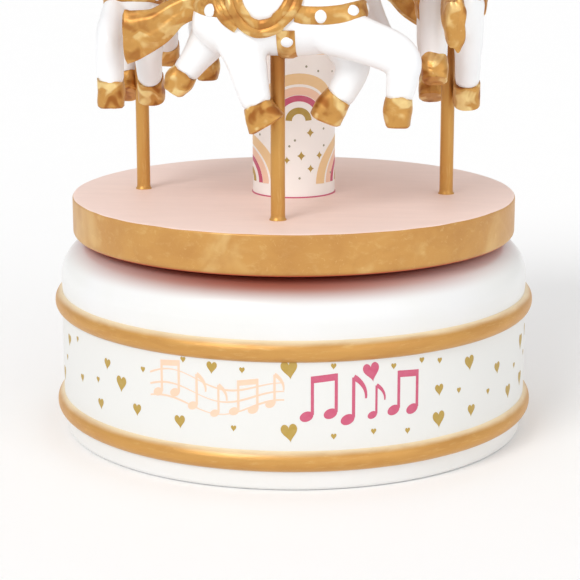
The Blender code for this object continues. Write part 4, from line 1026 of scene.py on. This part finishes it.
class CAROUSEL_OT_poles(bpy.types.Operator):
    """Builds the four gold poles with a fillet of paint at their feet"""

    bl_idname = "carousel.poles"
    bl_label = "Poles"

    def execute(self, context):
        s = sizes()
        top = POLE[1].z
        for side, x, y in pole_places():
            profile = [(0.0, s.platform_top - 0.002), (s.pole_radius, s.platform_top - 0.002)]
            profile += [
                (s.pole_radius + 0.00034, s.platform_top - 0.0001),
                (s.pole_radius + 0.00030, s.platform_top + 0.0002),
            ]
            profile += [(s.pole_radius + 0.0001, s.platform_top + 0.0004)]
            profile += [
                (s.pole_radius, s.platform_top + 0.001 + (top - s.platform_top - 0.001) * k / 24)
                for k in range(25)
            ]
            profile.append((0.0, top))
            bm = turned_solid(bmesh.new(), profile, 32)
            for v in bm.verts:
                flat = Vector((v.co.x, v.co.y, 0))
                if flat.length > 1e-5:
                    wave = noise.noise(Vector((x * 50, v.co.x * 300, v.co.z * 90)))
                    v.co += flat.normalized() * wave * 0.00004
            place = Matrix.Translation((x, y, 0))
            gone = [f"pole_{side}"]
            publish(f"gold_pole_{side}", bm, "turntable", gone, [pole_gold()], place)
        return {"FINISHED"}


# --- horses -------------------------------------------------------------------------------------------
BODY_VOXEL = 0.00042
MANE_VOXEL = 0.0003
# A row is (x, y, z, half the width across y, half the depth in the plane of x and z), in millimetres.
TRUNK = (
    (-16.2, 0, 9.3, 5.2, 5.4),
    (-12, 0, 8.4, 7.4, 7.6),
    (-5, 0, 7.8, 7.2, 7.4),
    (2, 0, 7.7, 7.1, 7.4),
    (9, 0, 8.7, 7.1, 8.0),
    (13.6, 0, 9.8, 6.5, 7.6),
    (16.8, 0, 10.6, 5.2, 5.8),
)
NECK = (
    (8.5, 0, 10, 5.8, 7.6),
    (12.8, 0, 16.6, 5.0, 6.8),
    (17.0, 0, 22.6, 3.9, 5.4),
    (19.0, 0, 27.6, 3.2, 4.3),
    (20.0, 0, 31.0, 2.5, 3.2),
)
HEAD = (
    (17.6, 0, 31.9, 2.4, 2.6),
    (20.2, 0, 30.5, 3.2, 3.6),
    (23.4, 0, 27.6, 3.0, 3.4),
    (26.4, 0, 24.2, 2.2, 2.4),
    (28.6, 0, 21.6, 2.2, 2.3),
    (29.7, 0, 20.3, 1.4, 1.5),
)
LEGS = {
    "support_hind": (
        (-9.6, -3.6, 7.5, 3.8, 5.6),
        (-6.6, -4.1, 0.5, 3.5, 4.6),
        (-5.4, -4.2, -4.5, 3.1, 3.9),
        (-4.4, -4.2, -8.8, 2.9, 3.3),
    ),
    "stretched_hind": (
        (-12.6, 3.6, 8.5, 3.8, 5.6),
        (-15.2, 4.0, 3.8, 3.5, 4.6),
        (-18.4, 4.2, -0.6, 3.1, 3.4),
        (-20.7, 4.2, -3.5, 2.9, 3.0),
    ),
    "raised_fore": (
        (11.5, -3.4, 6.5, 3.7, 5.6),
        (18.5, -3.9, 4.3, 3.5, 4.9),
        (24.2, -4.1, 2.2, 3.3, 4.6),
        (27.3, -4.1, -0.2, 3.2, 4.1),
        (27.3, -4.1, -3.8, 3.1, 3.4),
        (26.7, -4.1, -7.6, 2.9, 3.0),
    ),
    "bent_fore": (
        (13, 3.4, 5.5, 3.7, 5.6),
        (15.8, 3.6, -0.5, 3.4, 4.2),
        (15.7, 3.4, -4.0, 3.1, 3.7),
        (13.6, 3.4, -8.2, 2.9, 3.2),
    ),
}
HOOVES = {
    "support_hind": (
        (-4.0, -4.2, -9.6, 3.0, 3.2),
        (-3.2, -4.2, -11.6, 3.1, 3.7),
        (-1.9, -4.2, -13.9, 3.2, 4.4),
    ),
    "stretched_hind": (
        (-20.9, 4.2, -3.8, 3.0, 2.9),
        (-22.3, 4.2, -5.8, 3.1, 3.3),
        (-23.6, 4.2, -8.0, 2.9, 2.5),
    ),
    "raised_fore": (
        (26.6, -4.1, -8.0, 3.0, 2.9),
        (26.4, -4.1, -11.0, 3.1, 3.1),
        (26.4, -4.1, -13.9, 3.0, 2.7),
    ),
    "bent_fore": (
        (12.9, 3.4, -9.0, 3.0, 3.1),
        (11.4, 3.4, -11.2, 3.1, 3.6),
        (10.2, 3.4, -13.8, 3.1, 3.6),
    ),
}
EAR = ((18.4, 1.7, 33.0, 1.0, 1.3), (18.0, 2.1, 35.2, 0.9, 1.1), (17.8, 2.3, 37.0, 0.3, 0.4))
SADDLE = (
    (-9.6, 0, 10.6, 7.4, 4.6),
    (-7.0, 0, 11.2, 8.0, 5.8),
    (-2.6, 0, 10.9, 8.0, 5.0),
    (2.0, 0, 11.2, 8.0, 5.8),
    (4.6, 0, 10.8, 7.4, 4.6),
)
FORELOCK = (
    (17.6, 0, 35.0, 1.0, 1.0),
    (20.4, 0, 34.8, 1.1, 1.0),
    (22.6, 0, 32.6, 0.9, 0.8),
    (24.0, 0, 30.8, 0.3, 0.3),
)
TAIL = (
    (-15.2, 0, 12.2, 1.8, 2.3),
    (-18.5, 0, 11.1, 2.1, 2.9),
    (-22.5, 0, 9.3, 2.3, 3.1),
    (-26.5, 0, 6.4, 2.5, 4.0),
    (-31, 0, 4.7, 2.5, 5.1),
    (-33.2, 0, 4.2, 2.1, 5.6),
)
HORSE_LEANS = {  # degrees nose down and turned inwards, and metres up
    "front": (0.0, 0.0, 0.0),
    "right": (3.7, 3.6, 0.0006),
    "back": (0.0, 0.0, 0.0),
    "left": (-1.2, 4.0, 0.0010),
}


def limb_rings(rows, sides, box=2.0, ridges=0, ridge_depth=0.0):
    """Rings square to the limb's own run. box above 2 squares its section, and ridges groove it
    lengthwise."""
    points = [Vector(row[:3]) * MM for row in rows]
    across = Vector((0, 1, 0))
    rings = []
    for k, row in enumerate(rows):
        along = (points[min(k + 1, len(rows) - 1)] - points[max(k - 1, 0)]).normalized()
        depth = along.cross(across).normalized()
        ring = []
        for s in range(sides):
            a = math.tau * s / sides
            c, n = math.cos(a), math.sin(a)
            out = (abs(c) ** box + abs(n) ** box) ** (-1 / box)
            out *= 1 + ridge_depth * math.cos(ridges * a + 2.2 * k / len(rows))
            ring.append(points[k] + (across * row[3] * c + depth * row[4] * n) * out * MM)
        rings.append(ring)
    return rings


def rounded(rows, reach=0.8):
    """Adds shrinking rows at both ends, so that a limb ends in a dome. reach is the dome's height against
    its depth."""
    first, last = rows[0], rows[-1]
    start, end = [], []
    for edge, inside, made in ((first, rows[1], start), (last, rows[-2], end)):
        way = (Vector(edge[:3]) - Vector(inside[:3])).normalized()
        for t in (0.45, 0.75, 0.93):
            at = Vector(edge[:3]) + way * edge[4] * t * reach
            shrink = math.sqrt(1 - t * t)
            made.append((*at, edge[3] * shrink, edge[4] * shrink))
    return [*reversed(start), *rows, *end]


def melted(bm, name, voxel, smoothings):
    """Joins overlapping closed shapes into one smooth skin."""
    mesh = bpy.data.meshes.new(name)
    bmesh.ops.recalc_face_normals(bm, faces=bm.faces)
    bm.to_mesh(mesh)
    bm.free()
    blank = bpy.data.objects.new(name, mesh)
    bpy.context.scene.collection.objects.link(blank)
    melt = blank.modifiers.new("melt", "REMESH")
    melt.mode, melt.voxel_size = "VOXEL", voxel
    even = blank.modifiers.new("even", "SMOOTH")
    even.factor, even.iterations = 0.5, smoothings
    bpy.context.view_layer.update()
    made = bpy.data.meshes.new_from_object(blank.evaluated_get(bpy.context.evaluated_depsgraph_get()))
    made.name = name
    bpy.data.objects.remove(blank)
    bpy.data.meshes.remove(mesh)
    made.shade_smooth()
    return made


def mirrored(path):
    """The same path on the horse's other side, run the other way."""
    return [(x, -y, z) for x, y, z in reversed(path)]


class Skin:
    """The horse's surface, for laying straps and studs on."""

    def __init__(self, mesh):
        bm = bmesh.new()
        bm.from_mesh(mesh)
        self.tree = BVHTree.FromBMesh(bm)
        bm.free()

    def snap(self, point):
        place, normal, _, _ = self.tree.find_nearest(point)
        return place, normal

    def strap(self, bm, path, width, height, rolls=0, loop=False, steps=6):
        """A ribbon that hugs the surface along a path in millimetres. rolls turns it into parallel round
        rolls."""
        rows = [(*p, 0.0) for p in path]
        if loop:
            rows = [rows[-1], *rows, rows[0], rows[1]]
            run = spline(rows, steps)[steps : -steps - 1][: len(path) * steps]
        else:
            run = spline(rows, steps)
        points = [Vector(p[:3]) * MM for p in run]
        count = len(points)
        rings = []
        columns = 5 if not rolls else rolls * 6 + 1
        for k, point in enumerate(points):
            behind = points[k - 1] if loop or k else point
            ahead = points[(k + 1) % count] if loop or k < count - 1 else point
            place, normal = self.snap(point)
            across = normal.cross((ahead - behind).normalized()).normalized()
            top, low = [], []
            for c in range(columns):
                u = 2 * c / (columns - 1) - 1
                at, out = self.snap(place + across * u * width / 2 * MM)
                out = (out + normal).normalized()
                if rolls:
                    lift = height * (0.55 + 0.45 * abs(math.sin(math.pi * rolls * (u + 1) / 2)))
                else:
                    lift = height * (1 - abs(u) ** 8 * 0.8)
                wobble = 1 + 0.10 * noise.noise(point * 400)
                top.append(at + out * lift * wobble * MM)
                low.append(at - out * 0.4 * MM)
            rings.append(top + low[::-1])
        loft(bm, rings, loop=loop)

    def stud(self, bm, point, radius, height, sides=18):
        """A round domed dot on the surface."""
        place, normal = self.snap(Vector(point) * MM)
        across = normal.orthogonal().normalized()
        other = normal.cross(across)
        rings = []
        for share, lift in (
            (0.30, height),
            (0.62, height * 0.86),
            (0.88, height * 0.55),
            (1.0, height * 0.1),
            (1.0, -0.5),
            (0.3, -0.5),
        ):
            ring = []
            for s in range(sides):
                a = math.tau * s / sides
                out = (across * math.cos(a) + other * math.sin(a)) * radius * share
                ring.append(place + (out + normal * lift) * MM)
            rings.append(ring)
        loft(bm, rings)


SADDLE_RIM = (
    (-3.3, -8.0, 6.6),
    (-6.4, -8.0, 8.4),
    (-8.4, -7.6, 12.0),
    (-9.2, -5.0, 16.5),
    (-9.3, 0.0, 18.5),
    (-9.2, 5.0, 16.5),
    (-8.4, 7.6, 12.0),
    (-6.4, 8.0, 8.4),
    (-3.3, 8.0, 6.6),
    (0.6, 8.0, 8.0),
    (3.8, 7.6, 12.0),
    (4.8, 5.0, 16.5),
    (5.0, 0.0, 18.5),
    (4.8, -5.0, 16.5),
    (3.8, -7.6, 12.0),
    (0.6, -8.0, 8.0),
)
FOLDS = ((-7.2, -8.0, 7.9), (-9.6, -7.8, 9.6), (-11.4, -7.2, 12.4), (-12.2, -4.6, 15.4), (-12.4, 0, 16.6))
GIRTH = ((2.4, -8.0, 6.2), (2.4, -7.6, 3.2), (2.4, -5.4, 1.0), (2.4, -2.6, 0.2), (2.4, 0, 0.0))
BREAST = (
    (4.6, -8.0, 10.0),
    (9.9, -7.6, 9.7),
    (14.2, -6.6, 10.0),
    (17.0, -4.4, 10.5),
    (18.6, -2.2, 10.8),
    (19.2, 0, 11.0),
)
CRUPPER = (
    (-10.8, -7.8, 11.3), (-14.0, -6.4, 11.4), (-16.4, -4.0, 11.8), (-17.6, -2.0, 12.4), (-18.0, 0, 12.8)
)
REIN = ((26.4, -2.6, 24.0), (23.0, -3.6, 21.0), (18.0, -4.6, 19.2), (12.0, -6.0, 18.0), (7.0, -5.0, 17.0))
CHEEK = ((26.2, -2.4, 24.6), (23.6, -3.3, 27.2), (21.0, -3.6, 30.0), (19.0, -2.6, 33.0))
STRAPS = ((FOLDS, 4.6, 0.6, 3), (GIRTH, 4.0, 0.5, 0), (BREAST, 3.9, 0.5, 0), (CRUPPER, 4.2, 0.5, 0))
NOSEBANDS = ((26.2, 24.4, 2.6, 2.8, 45), (20.6, 30.2, 3.6, 4.0, 38))
STUDS = ((2.6, -8.2, 2.9), (10.0, -8, 9.6), (16.5, -5.2, 10.4), (-14.3, -7.4, 11.0))


class CAROUSEL_OT_horses(bpy.types.Operator):
    """Builds the four horses with their hooves, tails, manes and harness"""

    bl_idname = "carousel.horses"
    bl_label = "Horses"

    def execute(self, context):
        s = sizes()
        body = self.body()
        skin = Skin(body)
        made = {
            "body": (body, white()),
            "hooves": (self.hooves(), hoof_gold()),
            "tail": (self.tail(), horse_gold()),
            "mane": (self.mane(), horse_gold()),
            "harness": (self.harness(skin), horse_gold()),
            "studs": (self.studs(skin), white()),
            "eyes": (self.eyes(skin), finish("eye_enamel", nylon, (0.03, 0.02, 0.02))),
        }
        for mesh, coat in made.values():
            mesh.materials.append(coat)
        for side, x, y in pole_places():
            nose_down, inwards, lift = HORSE_LEANS[side]
            turn = math.radians(POLE_DEGREES[side] + 90 + inwards)
            place = Matrix.Translation((x, y, s.platform_top + s.belly + lift))
            place = place @ Matrix.Rotation(turn, 4, "Z") @ Matrix.Rotation(math.radians(nose_down), 4, "Y")
            for part, (mesh, _) in made.items():
                gone = [f"horse_{side}"] if part == "body" else []
                publish(f"horse_{side}_{part}", mesh, "turntable", gone, [], place)
        return {"FINISHED"}

    def body(self):
        bm = bmesh.new()
        for rows, reach in (
            (TRUNK, 0.4), (NECK, 0.8), (HEAD, 0.8), *((rows, 0.8) for rows in LEGS.values())
        ):
            loft(bm, limb_rings(rounded(spline(rows, 5), reach), 32))
        for side in (1, -1):
            ear = [(x, y * side, z, w, d) for x, y, z, w, d in EAR]
            loft(bm, limb_rings(rounded(spline(ear, 4)), 16))
        loft(bm, limb_rings(rounded(spline(SADDLE, 4)), 32))
        mesh = melted(bm, "horse_body", BODY_VOXEL, 7)
        for v in mesh.vertices:
            v.co += v.normal * noise.noise(v.co * 160) * 0.16 * MM
        return mesh

    def hooves(self):
        """Blocky cast hooves with an uneven painted upper edge."""
        bm = bmesh.new()
        for k, rows in enumerate(HOOVES.values()):
            rings = limb_rings(spline(rows, 5), 40, box=2.8)
            for n, ring in enumerate(rings):
                fade = max(0.0, 1 - n / 3)
                way = (rings[0][0] - rings[-1][0]).normalized()
                for s, point in enumerate(ring):
                    wobble = noise.noise(point * 420 + Vector((k * 5, 0, 0)))
                    ring[s] = point + way * wobble * fade * 0.9 * MM
            middle = sum(rings[-1], Vector()) / len(rings[-1])
            way = (rings[-1][0] - rings[0][0]).normalized()
            rings.append([middle + (p - middle) * 0.86 + way * 0.4 * MM for p in rings[-1]])
            loft(bm, rings)
        mesh = self.meshed(bm, "horse_hooves", 30)
        for v in mesh.vertices:
            chip = noise.noise(v.co * 330) * 0.22 + noise.noise(v.co * 900) * 0.05
            v.co += v.normal * chip * MM
        return mesh

    def tail(self):
        """A swept tail whose strands fan out from the root."""
        rows = spline(TAIL, 8)
        rings = limb_rings(rows, 72, box=2.6)
        last = len(rows) - 1
        for n, ring in enumerate(rings):
            share = n / last
            centre = sum(ring, Vector()) / len(ring)
            for s, point in enumerate(ring):
                a = math.tau * s / len(ring)
                groove = math.sin(a * 7 + 1.0 + 0.8 * share) * 0.06 + math.sin(a * 3 + 2.0) * 0.05
                ring[s] = centre + (point - centre) * (1 + groove * min(1.0, share * 2.2))
                ring[s] += Vector(
                    (0.17 * share * (point.z - centre.z), 0.5 * math.sin(share * 3.0) * MM, 0)
                )
        way = (rings[-1][0] - rings[-3][0]).normalized()
        centre = sum(rings[-1], Vector()) / len(rings[-1])
        rings.append([centre + (p - centre) * 0.82 + way * 0.5 * MM for p in rings[-1]])
        bm = loft(bmesh.new(), rings)
        return self.meshed(bm, "horse_tail", 40)

    def mane(self):
        """Locks that fall from the crest to both sides, and a forelock."""
        bm = bmesh.new()
        for k in range(8):
            t = k / 7
            root = Vector((8.6 + 9.0 * t, 0, 20.6 + 13.6 * t - 2.2 * t * t))
            for side in (1, -1):
                sweep = 1.0 + 0.25 * math.sin(k * 2.1 + side)
                rows = [
                    (root.x + 0.8, side * 0.4, root.z + 0.4, 1.0, 1.3),
                    (root.x + 0.2, side * 1.9, root.z - 0.6, 1.0, 1.5),
                    (root.x - 0.6, side * (3.5 - t), root.z - 2.8 * sweep, 0.9, 1.4),
                    (root.x - 1.9, side * (4.5 - 1.3 * t), root.z - 5.6 * sweep, 0.6, 0.9),
                    (root.x - 3.2, side * (4.7 - 1.4 * t), root.z - 7.2 * sweep, 0.25, 0.35),
                ]
                loft(bm, limb_rings(rounded(spline(rows, 4)), 14, ridges=3, ridge_depth=0.08))
        loft(bm, limb_rings(rounded(spline(FORELOCK, 4)), 14, ridges=3, ridge_depth=0.08))
        return melted(bm, "horse_mane", MANE_VOXEL, 2)

    def harness(self, skin):
        bm = bmesh.new()
        skin.strap(bm, SADDLE_RIM, 3.9, 1.0, rolls=2, loop=True, steps=8)
        for path, width, height, rolls in STRAPS:
            skin.strap(bm, [*path, *mirrored(path[:-1])], width, height, rolls)
        for path in (REIN, CHEEK):
            skin.strap(bm, path, 1.1, 0.4)
            skin.strap(bm, mirrored(path), 1.1, 0.4)
        for x, z, across, deep, tilt in NOSEBANDS:
            lean = math.radians(tilt)
            ring = []
            for k in range(12):
                a = math.tau * k / 12
                up = deep * math.sin(a)
                ring.append((x + up * math.sin(lean), across * math.cos(a), z + up * math.cos(lean)))
            skin.strap(bm, ring, 1.2, 0.4, loop=True, steps=3)
        return self.meshed(bm, "horse_harness", 50)

    def studs(self, skin):
        bm = bmesh.new()
        for point in STUDS:
            for side in (1, -1):
                skin.stud(bm, (point[0], point[1] * side, point[2]), 1.5, 0.8)
        skin.stud(bm, (20.5, 0, 11.2), 1.3, 0.75)
        return self.meshed(bm, "horse_studs", 50)

    def eyes(self, skin):
        bm = bmesh.new()
        for side in (1, -1):
            skin.stud(bm, (23.0, 3.6 * side, 28.9), 0.62, 0.22, 12)
            skin.stud(bm, (29.4, 1.6 * side, 21.6), 0.32, 0.06, 8)
        return self.meshed(bm, "horse_eyes", 50)

    def meshed(self, bm, name, sharp):
        mesh = bpy.data.meshes.new(name)
        bmesh.ops.recalc_face_normals(bm, faces=bm.faces)
        bm.to_mesh(mesh)
        bm.free()
        mesh.shade_smooth()
        mesh.set_sharp_from_angle(angle=math.radians(sharp))
        return mesh


# --- canopy -------------------------------------------------------------------------------------------
SCALLOPS = 12
SKIRT_HANG = 0.0085
SKIRT_DIP = 0.0035  # how much lower a scallop hangs in its middle
SKIRT_THICKNESS = 0.0030
ROOF_NECK = 0.0050
ROOF_EDGE = 0.0030  # height of the roof's rim
ROOF_SAG = 0.0009  # between two ribs
ROOF_SHELL = 0.0020
FINIAL_BALL = 0.0045
FINIAL_COLLAR = 0.0046


def tube(bm, points, radius, sides=10, loop=False):
    """A round bar along points."""
    rings = []
    count = len(points)
    for k, point in enumerate(points):
        behind = points[k - 1] if loop or k else point
        ahead = points[(k + 1) % count] if loop or k < count - 1 else point
        along = (ahead - behind).normalized()
        out = Vector((point.x, point.y, 0)).normalized() if math.hypot(point.x, point.y) > 1e-5 else Vector(
            (1, 0, 0)
        )
        other = along.cross(out).normalized()
        out = other.cross(along).normalized()
        turn = [math.tau * s / sides for s in range(sides)]
        rings.append([point + (out * math.cos(a) + other * math.sin(a)) * radius for a in turn])
    return loft(bm, rings, loop=loop)


class CAROUSEL_OT_canopy(bpy.types.Operator):
    """Builds the canopy: ceiling, scalloped skirt, tent roof and finial"""

    bl_idname = "carousel.canopy"
    bl_label = "Canopy"

    def execute(self, context):
        s = sizes()
        self.ceiling()
        self.skirt(s)
        self.roof()
        self.finial()
        return {"FINISHED"}

    def ceiling(self):
        outer = CEILING[1].x
        low, high = CEILING[0].z, CEILING[1].z
        profile = [
            (0.002, low),
            (0.02, low),
            (outer - 0.0003, low),
            (outer, low + 0.0003),
            (outer, high),
            (0.002, high),
        ]
        board = turned(profile, 120)
        publish("ceiling_board", board, "turntable", ["canopy_ceiling"], [pink()])

    def hang(self, a):
        """How far the skirt hangs below its upper edge at an angle."""
        share = (a / math.tau * SCALLOPS) % 1.0
        return SKIRT_HANG + SKIRT_DIP * math.sin(math.pi * share) ** 0.7

    def skirt(self, s):
        top, outer = VALANCE[1].z, s.canopy_radius
        inner = outer - SKIRT_THICKNESS
        count = SCALLOPS * 24
        rings, edge = [], []
        for k in range(count):
            a = math.tau * k / count
            low = top - self.hang(a)
            section = [(inner, low), (outer - 0.0002, low), (outer, low + 0.0002)]
            section += [(outer, low + (top - low) * n / 4) for n in range(1, 4)]
            section += [
                (outer, top),
                (inner - 0.002, top),
                (inner - 0.002, CEILING[1].z + 0.0003),
                (inner, CEILING[1].z + 0.0003),
            ]
            rings.append([Vector((r * math.cos(a), r * math.sin(a), z)) for r, z in section])
            edge.append(Vector((outer * math.cos(a), outer * math.sin(a), low + 0.0005)))
        skirt = loft(bmesh.new(), rings, loop=True)
        publish("canopy_skirt", skirt, "turntable", ["canopy_valance"], [white()])
        trim = tube(bmesh.new(), edge, 0.0008, loop=True)
        publish("skirt_gold_edge", trim, "turntable", [], [rim_gold()])
        hearts, outline = bmesh.new(), heart_outline()
        for k in range(SCALLOPS):
            wall = Wall(outer, 360 / SCALLOPS * (k + 0.5) + 90)
            for along, height, width, tilt in (
                (0, -6.2, 3.6, 0), (-5.2, -4.6, 2.0, 12), (5.2, -4.6, 2.0, -12)
            ):
                at = (along, top / MM + height)
                patch(hearts, wall, placed(outline, at, width, tilt), at)
        publish("skirt_hearts", hearts, "turntable", [], [olive_ink()])

    def roof(self):
        low, high = ROOF[0].z, ROOF[1].z
        rim, neck, rise = ROOF[1].x, ROOF_NECK, ROOF_EDGE
        count, steps = SCALLOPS * 10, 24
        rings = []
        for k in range(count):
            a = math.tau * k / count
            share = (k / 10) % 1.0
            section = [(rim - 0.002, low), (rim, low)]
            for n in range(steps + 1):
                t = 1 - n / steps
                r = neck + (rim - neck) * t
                z = low + rise + (high - low - rise) * (1 - t) ** 1.35
                dip = ROOF_SAG * math.sin(math.pi * share) * math.sin(math.pi * t)
                section.append((r, z - dip))
            section += [(0.002, high), (0.002, high - ROOF_SHELL)]
            section += [(r - 0.0014, z - ROOF_SHELL) for r, z in reversed(section[3:-3])]
            rings.append([Vector((r * math.cos(a), r * math.sin(a), z)) for r, z in section])
        bm = loft(bmesh.new(), rings, loop=True)
        bm.faces.ensure_lookup_table()
        width = len(rings[0])
        for n, face in enumerate(bm.faces):
            face.material_index = (n // width // 10) % 2
        publish("tent_roof", bm, "turntable", ["canopy_roof"], [pink(), white()])
        ribs = bmesh.new()
        for k in range(SCALLOPS):
            path = [p + Vector((0, 0, 0.0002)) for p in rings[k * 10][2 : steps + 3]]
            path.insert(0, path[0] + Vector((0, 0, -0.0012)))
            tube(ribs, path, 0.0007, 8)
        publish("roof_ribs", ribs, "turntable", [], [rim_gold()])
        profile = arc(rim - 0.0008, low + rise / 2, rise / 2, -80, 80, 12)
        profile = [(rim - 0.0015, profile[0][1]), *profile, (rim - 0.0015, profile[-1][1])]
        profile = [(min(r, rim + 0.0007), z) for r, z in profile]
        publish("roof_rim_bead", turned(profile, 180), "turntable", [], [rim_gold()])

    def finial(self):
        low, high = FINIAL[0].z, FINIAL[1].z
        base = ROOF[1].z + 0.0003
        ball, collar = FINIAL_BALL, FINIAL_COLLAR
        middle = base + 0.0025 + ball
        profile = [
            (0, low),
            (0.0016, low),
            (0.0016, base - 0.0001),
            (collar - 0.0003, base),
            (collar, base + 0.0003),
        ]
        profile += arc(collar - 0.0006, base + 0.0008, 0.0006, 0, 90, 4)
        profile += [(ball * 0.58, base + 0.0017), (ball * 0.5, base + 0.0023)]
        profile += arc(0, middle, ball, -56, 68, 18)
        profile += [
            (0.0013, middle + ball + 0.0008),
            (0.0008, middle + ball + 0.0022),
            (0.0004, high - 0.0004),
            (0, high),
        ]
        knob = turned_solid(bmesh.new(), profile, 48)
        publish("gold_finial", knob, "turntable", ["finial"], [rim_gold()])


# --- key and movement ---------------------------------------------------------------------------------
KEY_WING_TOP = 0.0090
KEY_HUB_BELOW = 0.0035  # how far the hub reaches down between the wings


class CAROUSEL_OT_key(bpy.types.Operator):
    """Builds the butterfly key under the base"""

    bl_idname = "carousel.key"
    bl_label = "Winding key"

    def execute(self, context):
        low, hub_top = KEY[0].z, KEY[1].z
        wing_top = KEY_WING_TOP
        middle, half = (low + wing_top) / 2, (wing_top - low) / 2
        reach = KEY[1].x - half
        bm = bmesh.new()
        for side in (1, -1):
            rings = []
            for k in range(40):
                a = math.tau * k / 40
                out = Vector((math.cos(a), 0, math.sin(a)))
                ring = []
                for n in range(12):
                    b = math.tau * n / 12
                    grow = half * 0.76 + half * 0.24 * math.cos(b)
                    point = Vector((side * reach, 0, middle)) + out * grow
                    ring.append(point + Vector((0, 0.0009 * math.sin(b), 0)))
                rings.append(ring)
            loft(bm, rings, loop=True)
            bar = [(x, 0, middle / MM, 0.9, 1.3) for x in (side * 1.0, side * (reach - half * 0.55) / MM)]
            loft(bm, limb_rings(spline(bar, 3), 16, box=4))
        hub_low = wing_top - KEY_HUB_BELOW
        profile = [(0, hub_low), (0.0024, hub_low), (0.0029, hub_low + 0.0005)]
        profile += [(0.0029, hub_top - 0.0004), (0.0026, hub_top), (0, hub_top)]
        turned_solid(bm, profile, 40)
        publish("butterfly_key", bm, "winding", ["winding_key"], [steel()])
        return {"FINISHED"}


class CAROUSEL_OT_movement(bpy.types.Operator):
    """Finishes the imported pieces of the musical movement"""

    bl_idname = "carousel.movement"
    bl_label = "Movement"

    def execute(self, context):
        coats = {
            "black_board": finish("black_hardboard", hardboard, (0.03, 0.03, 0.03)),
            "brass": brass(),
            "steel": steel(),
            "zinc_casting": finish("zinc", metal, (0.56, 0.57, 0.59), 0.40),
            "white_nylon": finish("nylon", nylon, (0.88, 0.88, 0.85)),
        }
        slots = {part["node"]: part["material_slot"] for part in frame["record"]["subparts"]}
        for name, node in frame["nodes"].items():
            coat = coats.get(slots[name])
            if coat:
                node.data.materials.clear()
                node.data.materials.append(coat)
        return {"FINISHED"}


STEPS = (
    CAROUSEL_OT_stage,
    CAROUSEL_OT_base,
    CAROUSEL_OT_platform,
    CAROUSEL_OT_column,
    CAROUSEL_OT_poles,
    CAROUSEL_OT_horses,
    CAROUSEL_OT_canopy,
    CAROUSEL_OT_key,
    CAROUSEL_OT_movement,
)


class CAROUSEL_PT_panel(bpy.types.Panel):
    """Lists the carousel's build steps, sizes and colours"""

    bl_idname = "CAROUSEL_PT_panel"
    bl_label = "Carousel Music Box"
    bl_space_type = "VIEW_3D"
    bl_region_type = "UI"
    bl_category = "Carousel"

    def draw(self, context):
        for step in STEPS:
            self.layout.operator(step.bl_idname)
        for group in (context.scene.carousel_sizes, context.scene.carousel_colours):
            box = self.layout.box()
            for name in group.__annotations__:
                box.prop(group, name)


CLASSES = (CarouselSizes, CarouselColours, *STEPS, CAROUSEL_PT_panel)


def register():
    for cls in CLASSES:
        bpy.utils.register_class(cls)
    bpy.types.Scene.carousel_sizes = PointerProperty(type=CarouselSizes)
    bpy.types.Scene.carousel_colours = PointerProperty(type=CarouselColours)


def unregister():
    del bpy.types.Scene.carousel_colours
    del bpy.types.Scene.carousel_sizes
    for cls in reversed(CLASSES):
        bpy.utils.unregister_class(cls)


def main():
    register()
    for step in STEPS:
        group, name = step.bl_idname.split(".")
        getattr(getattr(bpy.ops, group), name)()


if __name__ == "__main__":
    main()
